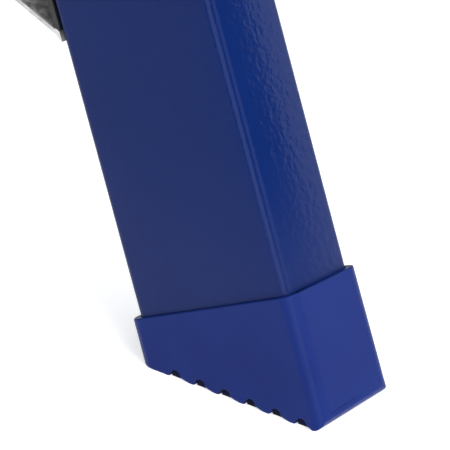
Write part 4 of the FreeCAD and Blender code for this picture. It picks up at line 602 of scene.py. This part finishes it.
def weld_bead(name, corners):
    """One rippled bead that follows a closed line of corners."""
    line = []
    for first, second in zip(corners, corners[1:] + corners[:1]):
        steps = max(round((second - first).length / BEAD_STEP), 2)
        line += [first.lerp(second, step / steps) for step in range(steps)]
    stations, run = [], 0.0
    plane = (corners[1] - corners[0]).cross(corners[2] - corners[1]).normalized()
    for number, point in enumerate(line):
        after, before = line[(number + 1) % len(line)], line[number - 1]
        outward = (after - before).normalized().cross(plane)
        run += (point - before).length
        ripple = abs(math.sin(math.pi * run / BEAD_RIPPLE))
        stations.append((point, outward, BEAD_ROUND * (1 - BEAD_RIPPLE_DEEP * (1 - ripple))))
    bead = ringed_tube(BEAD_SIDES, len(stations) - 1)
    for vert in bead.verts:
        point, outward, round_here = stations[round(vert.co.z * (len(stations) - 1))]
        vert.co = point + round_here * (vert.co.x * outward + vert.co.y * plane)
    bmesh.ops.bridge_loops(bead, edges=[edge for edge in bead.edges if edge.is_boundary])
    bmesh.ops.recalc_face_normals(bead, faces=bead.faces)
    piece = new_piece(name, bead, blue_coat, sharp=80)
    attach(piece, "stand")


def level_box(low, high, y):
    """The four corners of an upright rectangle across the stand."""
    return [Vector((low.x, y, low.z)), Vector((high.x, y, low.z)),
            Vector((high.x, y, high.z)), Vector((low.x, y, high.z))]


for end, side in CORNERS:
    place = leg_place(end, side)
    axis, corners = place.col[2].to_3d(), []
    for along, over in ((-1, -1), (1, -1), (1, 1), (-1, 1)):
        foot_end = place @ Vector((along * TUBE_WIDE / 2, over * TUBE_NARROW / 2, 0))
        corners.append(foot_end + axis * (rail_low.z - BEAD_UNDER - foot_end.z) / axis.z)
    weld_bead(f"leg_weld_{END_NAME[end]}_{SIDE_NAME[side]}", corners)
for beam in ("front_crossbeam", "hinge_beam"):
    low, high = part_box(beam)
    for side in (RIGHT, LEFT):
        weld_bead(f"{beam}_weld_{SIDE_NAME[side]}", level_box(low, high, side * high.y))
tie_low, tie_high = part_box("front_tie")
for side in (RIGHT, LEFT):
    corners = level_box(tie_low, tie_high, side * tie_high.y)
    for corner in corners:
        corner.y -= side * (corner.z - tie_low.z) * math.tan(LEG_LEAN)
    weld_bead(f"front_tie_weld_{SIDE_NAME[side]}", corners)


# ---- rails, crossbeams and tie: the same coated tube, with moulded plugs in the rails' ends ----
# The CAD tubes keep their bored holes, and every cut edge is eased as a file leaves it.


def eased(node, finish, width=EASE, sharp=35, clamp=False):
    """A CAD piece with its sharp edges eased by a small round, standing for that piece."""
    mesh = frame["nodes"][node].data.copy()
    mesh.name = f"{node}_eased"
    mesh.attributes.remove(mesh.attributes["custom_normal"])
    shape = bmesh.new()
    shape.from_mesh(mesh)
    bmesh.ops.remove_doubles(shape, verts=shape.verts, dist=1e-6)
    bmesh.ops.dissolve_limit(shape, angle_limit=math.radians(1), verts=shape.verts, edges=shape.edges)
    for face in shape.faces:
        face.smooth = True
    for edge in shape.edges:
        edge.smooth = True
    shape.to_mesh(mesh)
    shape.free()
    mesh.materials.clear()
    mesh.materials.append(finish)
    piece = bpy.data.objects.new(f"{node}_finished", mesh)
    scene.collection.objects.link(piece)
    soft_edges(piece, width, sharp, clamp=clamp)
    settle(piece, node)
    return piece


def black_plastic():
    """Black moulded plastic: a fine spark-eroded texture with a dull sheen, greyer in patches."""
    finish, shader = new_finish("black_moulding", linear(30, 30, 32), 0.5)
    drifting(finish, shader, 0.015, linear(22, 22, 24), linear(40, 40, 42))
    uneven_gloss(finish, shader, 0.003, 0.42, 0.62)
    relief(finish, shader, speckle(finish, 0.0007, 2), 0.00006)
    return finish


black = black_plastic()
for node in ("side_rail_right", "side_rail_left", "front_crossbeam", "hinge_beam", "front_tie"):
    eased(node, blue_coat)
eased("rail_end_plugs", black, 0.0008)


# ---- braces: channels pressed from galvanised sheet, crossing at mid-stand ----
# The zinc has crystallised into a dull grey spangle, and the sheared edges are bare steel, painted bright
# as a highlight.


def galvanising(name, first, second, third):
    """Hot-dip zinc: spangle crystals in greys, finer mottling inside them and a dull, uneven sheen."""
    finish, shader = new_finish(name, first, 0.5, 0.45)
    crystals = finish.node_tree.nodes.new("ShaderNodeTexVoronoi")
    crystals.inputs["Scale"].default_value = 1 / SPANGLE
    finish.node_tree.links.new(own_place(finish), crystals.inputs["Vector"])
    grey = finish.node_tree.nodes.new("ShaderNodeRGBToBW")
    finish.node_tree.links.new(crystals.outputs["Color"], grey.inputs["Color"])
    colour = tint(finish, grey.outputs["Val"], first, second)
    mottle = spread(finish, speckle(finish, 0.0022, 5), 0.42, 0.66)
    colour = tint(finish, mottle, colour, third)
    finish.node_tree.links.new(colour, shader.inputs["Base Color"])
    rough = spread(finish, grey.outputs["Val"], 0.2, 0.8, 0.36, 0.58)
    finish.node_tree.links.new(rough, shader.inputs["Roughness"])
    under = relief(finish, shader, speckle(finish, 0.0012, 4), 0.00005)
    relief(finish, shader, grey.outputs["Val"], 0.00002, under)
    return finish


def bright_cut_highlight():
    """A sheared steel edge: bare steel painted bright as a highlight, with fine drag lines."""
    finish, shader = new_finish("sheared_edge_highlight", linear(222, 222, 222), 0.35, 0.3)
    drifting(finish, shader, 0.003, linear(158, 158, 160), linear(192, 192, 192))
    relief(finish, shader, speckle(finish, 0.0004, 2, (1, 1, 0.1)), 0.00003)
    return finish


SPANGLE = 0.0065
FLANGE_DEEP, EDGE_BAND = 0.013, 0.0006
zinc = galvanising("galvanised_sheet", linear(92, 92, 92), linear(136, 136, 137), linear(164, 164, 163))
cut_edge_highlight = bright_cut_highlight()
for end, side in CORNERS:
    brace = eased(f"brace_{END_NAME[end]}_{SIDE_NAME[side]}", zinc, 0.0003)
    out = (side_place(side).to_3x3() @ Vector((0, 1, 0))) * (side * end)
    depth = [vert.co.dot(out) for vert in brace.data.vertices]
    # Faces on the flanges' far edge take the bright edge, bare steel with a painted highlight.
    brace.data.materials.append(cut_edge_highlight)
    for face in brace.data.polygons:
        far = min(max(depth), min(depth) + FLANGE_DEEP + EDGE_BAND)
        if face.normal.dot(out) > 0.98 and face.center.dot(out) > far - EDGE_BAND:
            face.material_index = 1


# ---- brace ends: where a brace's lower flange curls down on to the leg ----
# The curl is part of the pressing and has the same bright edge, painted bright as a highlight. A near-black
# strip along the riveted tab's edge against the leg is painted shade in the gap there.

CURL_LINE = ((-31.6, 115.9), (-30.9, 115.7), (-30.04, 114.6), (-30.04, 111.6), (-30.3, 111.8),
             (-30.8, 112.6), (-31.6, 113.7))
GAP_SHADE_LINE = ((-31.9, 117.0), (-31.4, 116.4), (-30.04, 114.8), (-30.04, 150.0), (-31.9, 150.0))
CURL_EDGE, TAB_EDGE, CURL_BACK = 0.015, 0.013, 0.0035


def against_leg(name, end, side, line, first, second, finish):
    """A shape drawn on a leg's wide side and carried across part of the leg's narrow side."""
    outward = end * side
    strip = bmesh.new()
    outline = [(end * x / 1000, outward * first, z / 1000) for x, z in line]
    pushed(strip, outline, (0, outward * (second - first), 0))
    bmesh.ops.transform(strip, matrix=leg_place(end, side), verts=strip.verts)
    bmesh.ops.recalc_face_normals(strip, faces=strip.faces)
    piece = new_piece(f"{name}_{END_NAME[end]}_{SIDE_NAME[side]}", strip, finish, sharp=50)
    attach(piece, "stand")
    return piece


# Painted shade: a near-black strip standing for the shadow in the gap at the tab's edge.
gap_shade, gap_shade_shader = new_finish("gap_shade", linear(16, 17, 20), 0.5)
drifting(gap_shade, gap_shade_shader, 0.004, linear(10, 11, 14), linear(24, 25, 28))
relief(gap_shade, gap_shade_shader, speckle(gap_shade, 0.003, 3), 0.0002)
for end, side in CORNERS:
    curl = against_leg("brace_curl", end, side, CURL_LINE, CURL_EDGE, CURL_BACK, zinc)
    curl.data.materials.append(cut_edge_highlight)
    # The curl's outward faces take the bright edge, bare steel with a painted highlight.
    out = (side_place(side).to_3x3() @ Vector((0, 1, 0))) * (side * end)
    for face in curl.data.polygons:
        face.material_index = 1 if face.normal.dot(out) > 0.9 else 0
    # The near-black strip of painted shade along the tab's edge.
    bead = against_leg("brace_gap_shade", end, side, GAP_SHADE_LINE, CURL_EDGE - 0.0002, TAB_EDGE, gap_shade)
    soft_edges(bead, 0.0003)


# ---- rivets, bolts and screws: steel, bright zinc plated, with a faint yellow cast ----
# The plating is finely scuffed and dull in patches, and every head's edges are slightly rounded.


def plating():
    """Bright zinc plating: a pale metal with a yellow cast, fine scuffs and dull patches."""
    finish, shader = new_finish("zinc_fasteners", linear(196, 196, 190), 0.3, 1.0)
    drifting(finish, shader, 0.004, linear(178, 179, 176), linear(212, 210, 200), 4)
    uneven_gloss(finish, shader, 0.002, 0.2, 0.42)
    relief(finish, shader, speckle(finish, 0.0005, 4), 0.00003)
    return finish


plated = plating()
for node in ("brace_rivets", "brace_cross_bolts", "brace_cross_spacers", "step_bolts", "anchor_bolts",
             "frame_bolts", "rack_screws"):
    eased(node, plated, 0.00025)


# ---- steps and deck anchors: galvanised plate, punched and folded ----
# The treads are folded down at their edges, and their grip holes are punched through the flat.

plate = galvanising("galvanised_plate", linear(128, 130, 132), linear(158, 160, 162), linear(186, 187, 188))
for node in ("lower_step", "upper_step"):
    eased(node, plate, 0.0004)
for node in ("anchor_bracket_right", "anchor_bracket_left", "anchor_packings"):
    eased(node, plate, 0.0004, clamp=True)


# ---- handrails: bent stainless tube, plugged below and strapped to the rails ----
# The tube is polished round, so its scratches run round it, and salt has left faint dull spots.


def polished_tube():
    """Polished stainless steel: bright, with hair-fine polishing lines and faint water spots."""
    finish, shader = new_finish("stainless_tube", linear(158, 160, 163), 0.16, 1.0)
    drifting(finish, shader, 0.05, linear(146, 148, 151), linear(170, 172, 174))
    spots = spread(finish, speckle(finish, 0.006, 5), 0.56, 0.7, 0.12, 0.3)
    finish.node_tree.links.new(spots, shader.inputs["Roughness"])
    relief(finish, shader, speckle(finish, 0.0008, 2, (0.08, 0.08, 1)), 0.000015)
    shader.inputs["Anisotropic"].default_value = 0.4
    return finish


stainless = polished_tube()
for side in (RIGHT, LEFT):
    eased(f"handrail_{SIDE_NAME[side]}", stainless, 0.0004)
eased("handrail_straps", stainless, 0.0006)
eased("handrail_plugs", black, 0.0008)


# ---- board: a gel-coated glass-fibre shell over a timber core, with a sand-gritted top ----
# The shell is glossy and faintly uneven. The grit is bonded in a fine coat and wears paler where
# divers walk. The fulcrum's roller bears on a ribbed rubber pad under the board.

GRIT_SIZE, GRIT_DEEP = 0.0011, 0.0006
WALK_HALF = 0.15
PAD_RIB, PAD_RIB_DEEP, PAD_SLOPE = 0.010, 0.0012, 0.16


def gel_coat():
    """Gel-coated glass fibre: a pale cool white, glossy, with a slow ripple and an uneven sheen."""
    finish, shader = new_finish("board_shell", linear(196, 204, 209), 0.22)
    drifting(finish, shader, 0.25, linear(190, 199, 205), linear(200, 207, 211))
    uneven_gloss(finish, shader, 0.03, 0.16, 0.32)
    under = relief(finish, shader, speckle(finish, 0.03, 1), 0.00004)
    relief(finish, shader, speckle(finish, 0.0015, 2), 0.00002, under)
    shader.inputs["Coat Weight"].default_value = 0.3
    shader.inputs["Coat Roughness"].default_value = 0.1
    return finish


def grit():
    """Sand grit in resin: grains of several greys, dull, worn paler in patches along the middle."""
    finish, shader = new_finish("grit_coat", linear(150, 164, 176), 0.85)
    grains = finish.node_tree.nodes.new("ShaderNodeTexVoronoi")
    grains.inputs["Scale"].default_value = 1 / GRIT_SIZE
    finish.node_tree.links.new(own_place(finish), grains.inputs["Vector"])
    grey = finish.node_tree.nodes.new("ShaderNodeRGBToBW")
    finish.node_tree.links.new(grains.outputs["Color"], grey.inputs["Color"])
    colour = tint(finish, grey.outputs["Val"], linear(96, 116, 132), linear(178, 192, 200))
    split = finish.node_tree.nodes.new("ShaderNodeSeparateXYZ")
    finish.node_tree.links.new(own_place(finish), split.inputs["Vector"])
    off = finish.node_tree.nodes.new("ShaderNodeMath")
    off.operation = "ABSOLUTE"
    finish.node_tree.links.new(split.outputs["Y"], off.inputs[0])
    worn = spread(finish, off.outputs["Value"], WALK_HALF, 0.2 * WALK_HALF, 0, 0.35)
    patchy = finish.node_tree.nodes.new("ShaderNodeMath")
    patchy.operation = "MULTIPLY"
    finish.node_tree.links.new(worn, patchy.inputs[0])
    finish.node_tree.links.new(speckle(finish, 0.12, 4), patchy.inputs[1])
    colour = tint(finish, patchy.outputs["Value"], colour, linear(190, 190, 182))
    finish.node_tree.links.new(colour, shader.inputs["Base Color"])
    relief(finish, shader, grains.outputs["Distance"], -GRIT_DEEP)
    return finish


def rubber(name, first, second):
    """Moulded black rubber: dull, finely pored, a little greyer in patches."""
    finish, shader = new_finish(name, first, 0.8)
    shader.inputs["Specular IOR Level"].default_value = 0.3
    drifting(finish, shader, 0.012, first, second, 5)
    uneven_gloss(finish, shader, 0.004, 0.68, 0.9)
    relief(finish, shader, speckle(finish, 0.0009, 3), 0.00008)
    return finish


black_rubber = rubber("black_rubber", linear(28, 28, 28), linear(48, 47, 45))
eased("board_core", gel_coat(), 0.0006, sharp=40)
eased("gritted_top", grit(), 0.0005)
eased("board_bolts", stainless, 0.0003)

pad_low, pad_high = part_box("wear_pad")
pad = bmesh.new()
ribs = int((pad_high.x - pad_low.x) / PAD_RIB)
rib_long = (pad_high.x - pad_low.x) / ribs
outline = [(pad_low.x, pad_high.z)]
for rib in range(ribs):
    start = pad_low.x + rib * rib_long
    outline += [(start, pad_low.z + PAD_RIB_DEEP), (start + PAD_SLOPE * rib_long, pad_low.z),
                (start + (1 - PAD_SLOPE) * rib_long, pad_low.z)]
outline += [(pad_high.x, pad_low.z + PAD_RIB_DEEP), (pad_high.x, pad_high.z)]
pushed(pad, [(x, pad_low.y, z) for x, z in outline], (0, pad_high.y - pad_low.y, 0))
bmesh.ops.recalc_face_normals(pad, faces=pad.faces)
pad_piece = new_piece("wear_pad_ribbed", pad, black_rubber)
soft_edges(pad_piece, 0.0004, sharp=30)
settle(pad_piece, "wear_pad")


# ---- hinges: cast leaves under the board, pins in bronze bushes, folded steel brackets ----
# The castings are fettled and tumbled to a satin grey. Bronze shows at the bushes' rims.


def casting():
    """Cast aluminium: a fine sand texture over slow unevenness, satin, with a drift of tone."""
    finish, shader = new_finish("cast_alloy", linear(158, 160, 162), 0.42, 0.85)
    drifting(finish, shader, 0.03, linear(140, 142, 145), linear(172, 174, 176), 4)
    uneven_gloss(finish, shader, 0.006, 0.36, 0.55)
    under = relief(finish, shader, speckle(finish, 0.0011, 4), 0.00008)
    relief(finish, shader, speckle(finish, 0.012, 2), 0.0001, under)
    return finish


def turned_steel():
    """Machined steel under a film of oil: turning marks across the axis and faint brown staining."""
    finish, shader = new_finish("machined_steel", linear(158, 158, 159), 0.3, 1.0)
    drifting(finish, shader, 0.02, linear(150, 150, 152), linear(172, 170, 166), 5)
    uneven_gloss(finish, shader, 0.005, 0.2, 0.4, (0.3, 1, 0.3))
    relief(finish, shader, speckle(finish, 0.0006, 2, (0.05, 1, 0.05)), 0.00002)
    shader.inputs["Anisotropic"].default_value = 0.3
    return finish


def bronze_metal():
    """Machined bronze: warm, oily and browned in patches, with fine turning marks."""
    finish, shader = new_finish("bronze", linear(176, 134, 78), 0.34, 1.0)
    drifting(finish, shader, 0.006, linear(150, 108, 60), linear(190, 148, 88), 4)
    uneven_gloss(finish, shader, 0.003, 0.26, 0.46)
    relief(finish, shader, speckle(finish, 0.0006, 2, (0.1, 1, 0.1)), 0.00002)
    return finish


cast, steel, bronze = casting(), turned_steel(), bronze_metal()
for side in (RIGHT, LEFT):
    eased(f"hinge_leaf_{SIDE_NAME[side]}", cast, 0.0007)
    eased(f"hinge_bracket_{SIDE_NAME[side]}", plate, 0.0005)
eased("hinge_pins", steel, 0.0003)
eased("hinge_bushes", bronze, 0.0002)


# ---- fulcrum: racks on the rails, and a carriage of cast saddles on nylon shoes ----
# Tie rods hold the saddles apart. Racks, rods and shaft are machined steel under a film of oil.


def nylon_block():
    """Natural nylon: warm off-white, waxy and faintly translucent, with cutter marks."""
    finish, shader = new_finish("nylon", linear(226, 220, 204), 0.45)
    shader.inputs["Subsurface Weight"].default_value = 0.15
    shader.inputs["Subsurface Radius"].default_value = (0.004, 0.003, 0.002)
    drifting(finish, shader, 0.012, linear(214, 207, 190), linear(232, 227, 213))
    uneven_gloss(finish, shader, 0.003, 0.38, 0.56)
    relief(finish, shader, speckle(finish, 0.0008, 2, (0.1, 1, 1)), 0.00003)
    return finish


for side in (RIGHT, LEFT):
    eased(f"rack_{SIDE_NAME[side]}", steel, 0.0002)
    eased(f"fulcrum_saddle_{SIDE_NAME[side]}", cast, 0.0012)
eased("guide_shoes", nylon_block(), 0.0005)
eased("shaft_bushes", bronze, 0.0002)
eased("fulcrum_tie_rods", steel, 0.0003)


# ---- fulcrum shaft: a ground bar with two pinions, collars and a cast handwheel ----
# The handwheel has a round rim with finger scallops inside it, tapered spokes that swell into the rim
# and the hub, and a faced hub.

WHEEL_SCALLOPS, SCALLOP_DEEP = 24, 0.0016
RIM_ROUND_WHEEL, RIM_STEPS, RIM_TURNS = 0.009, 20, 240
SPOKES, SPOKE_STEPS, SPOKE_SIDES = 4, 20, 16
SPOKE_MIDDLE, SPOKE_ENDS, SPOKE_SUNK, SPOKE_FLAT = 0.0058, 0.0088, 0.004, 0.8
HUB_ROUND, HUB_BORE, HUB_TURNS = 0.022, 0.0101, 64
HUB_FACE, HUB_SHOULDER, HUB_EDGE = HUB_ROUND - 0.005, HUB_ROUND - 0.0035, HUB_ROUND - 0.001
HUB_CHAMFER, HUB_BELLY = 0.0015, 0.003

for node in ("fulcrum_shaft", "pinion_right", "pinion_left", "shaft_collars"):
    eased(node, steel, 0.0003)
eased("handwheel_nut", plated, 0.0003)

wheel_low, wheel_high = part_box("handwheel")
wheel_centre = (wheel_low + wheel_high) / 2
rim_middle = (wheel_high.z - wheel_low.z) / 2 - RIM_ROUND_WHEEL
spoke_turn = math.tau / (2 * SPOKES)


def turned(shape, outline, middle, steps):
    """Turn a closed outline of radii and places along the shaft into a ring round it."""
    verts = [shape.verts.new(middle + Vector((radius, along, 0))) for radius, along in outline]
    edges = [shape.edges.new(pair) for pair in zip(verts, verts[1:] + verts[:1])]
    bmesh.ops.spin(shape, geom=verts + edges, cent=middle, axis=(0, 1, 0), angle=math.tau, steps=steps,
                   use_merge=True)


def scalloped(ring):
    """Press finger scallops into the inside of the handwheel's rim."""
    for vert in ring:
        arm = vert.co - wheel_centre
        radius = math.hypot(arm.x, arm.z)
        scallop = SCALLOP_DEEP * (0.5 - 0.5 * math.cos(WHEEL_SCALLOPS * math.atan2(arm.z, arm.x)))
        inner = max((rim_middle - radius) / RIM_ROUND_WHEEL, 0)
        shrunk = scallop * inner ** 2 / RIM_ROUND_WHEEL
        outward = (radius + (rim_middle - radius) * shrunk) / radius
        vert.co = wheel_centre + Vector((arm.x * outward, arm.y * (1 - shrunk), arm.z * outward))


def tapered_spoke(turn):
    """One oval spoke from inside the hub to the rim, thin at its middle and swelling to both ends."""
    start = HUB_ROUND - SPOKE_SUNK
    spoke = ringed_tube(SPOKE_SIDES, SPOKE_STEPS)
    for vert in spoke.verts:
        share = vert.co.z
        swell = SPOKE_MIDDLE + (SPOKE_ENDS - SPOKE_MIDDLE) * abs(2 * share - 1) ** 3
        vert.co = Vector((swell * vert.co.x, SPOKE_FLAT * swell * vert.co.y,
                          start + share * (rim_middle - start)))
    outward = Matrix.Translation(wheel_centre) @ Matrix.Rotation(math.pi / 2 - turn, 4, "Y")
    bmesh.ops.transform(spoke, matrix=outward, verts=spoke.verts)
    return spoke


wheel = tapered_spoke(spoke_turn)
bmesh.ops.spin(wheel, geom=wheel.verts[:] + wheel.edges[:] + wheel.faces[:], cent=wheel_centre,
               axis=(0, 1, 0), angle=math.tau * (SPOKES - 1) / SPOKES, steps=SPOKES - 1,
               use_duplicate=True)
spokes = set(wheel.verts)
rim_angles = [math.tau * step / RIM_STEPS for step in range(RIM_STEPS)]
rim_line = [(rim_middle + RIM_ROUND_WHEEL * math.cos(angle), RIM_ROUND_WHEEL * math.sin(angle))
            for angle in rim_angles]
turned(wheel, rim_line, wheel_centre, RIM_TURNS)
scalloped([vert for vert in wheel.verts if vert not in spokes])
half_hub = (wheel_high.y - wheel_low.y) / 2
hub_line = [(HUB_BORE, -half_hub), (HUB_FACE, -half_hub), (HUB_SHOULDER, -half_hub + HUB_CHAMFER),
            (HUB_EDGE, -HUB_BELLY), (HUB_ROUND, 0), (HUB_EDGE, HUB_BELLY),
            (HUB_SHOULDER, half_hub - HUB_CHAMFER), (HUB_FACE, half_hub), (HUB_BORE, half_hub)]
turned(wheel, hub_line, wheel_centre, HUB_TURNS)
bmesh.ops.recalc_face_normals(wheel, faces=wheel.faces)
wheel_piece = new_piece("handwheel_cast", wheel, cast, sharp=50)
settle(wheel_piece, "handwheel")


# ---- roller: a steel tube on bronze bushes under a ribbed rubber sleeve ----
# Fine grooves are moulded round the sleeve, and its rubber is scuffed paler in patches.

SLEEVE_PITCH, SLEEVE_GROOVE, SLEEVE_GROOVE_DEEP, SLEEVE_TURNS = 0.012, 0.0016, 0.0010, 96
SLEEVE_CHAMFER, SLEEVE_PLAIN = 0.001, 0.004
GROOVE_SHAPE = ((-1, 0), (-0.5, 0.8), (0, 1), (0.5, 0.8), (1, 0))

eased("roller_core", steel, 0.0004)
eased("roller_bushes", bronze, 0.0002)
sleeve_low, sleeve_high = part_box("roller_sleeve")
sleeve_middle = (sleeve_low + sleeve_high) / 2
sleeve_round = (sleeve_high.z - sleeve_low.z) / 2
core_low, core_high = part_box("roller_core")
sleeve_bore = (core_high.z - core_low.z) / 2
sleeve_half = (sleeve_high.y - sleeve_low.y) / 2
profile = [(sleeve_bore, -sleeve_half), (sleeve_round - SLEEVE_CHAMFER, -sleeve_half),
           (sleeve_round, -sleeve_half + SLEEVE_CHAMFER)]
groove_runs = int(2 * (sleeve_half - SLEEVE_PLAIN) / SLEEVE_PITCH)
for run in range(groove_runs):
    here = (run - (groove_runs - 1) / 2) * SLEEVE_PITCH
    for off, deep in GROOVE_SHAPE:
        profile.append((sleeve_round - deep * SLEEVE_GROOVE_DEEP, here + off * SLEEVE_GROOVE / 2))
profile += [(sleeve_round, sleeve_half - SLEEVE_CHAMFER), (sleeve_round - SLEEVE_CHAMFER, sleeve_half),
            (sleeve_bore, sleeve_half)]
sleeve = bmesh.new()
turned(sleeve, profile, sleeve_middle, SLEEVE_TURNS)
bmesh.ops.recalc_face_normals(sleeve, faces=sleeve.faces)
sleeve_piece = new_piece("roller_sleeve_grooved", sleeve,
                         rubber("roller_rubber", linear(34, 34, 34), linear(62, 60, 57)))
settle(sleeve_piece, "roller_sleeve")
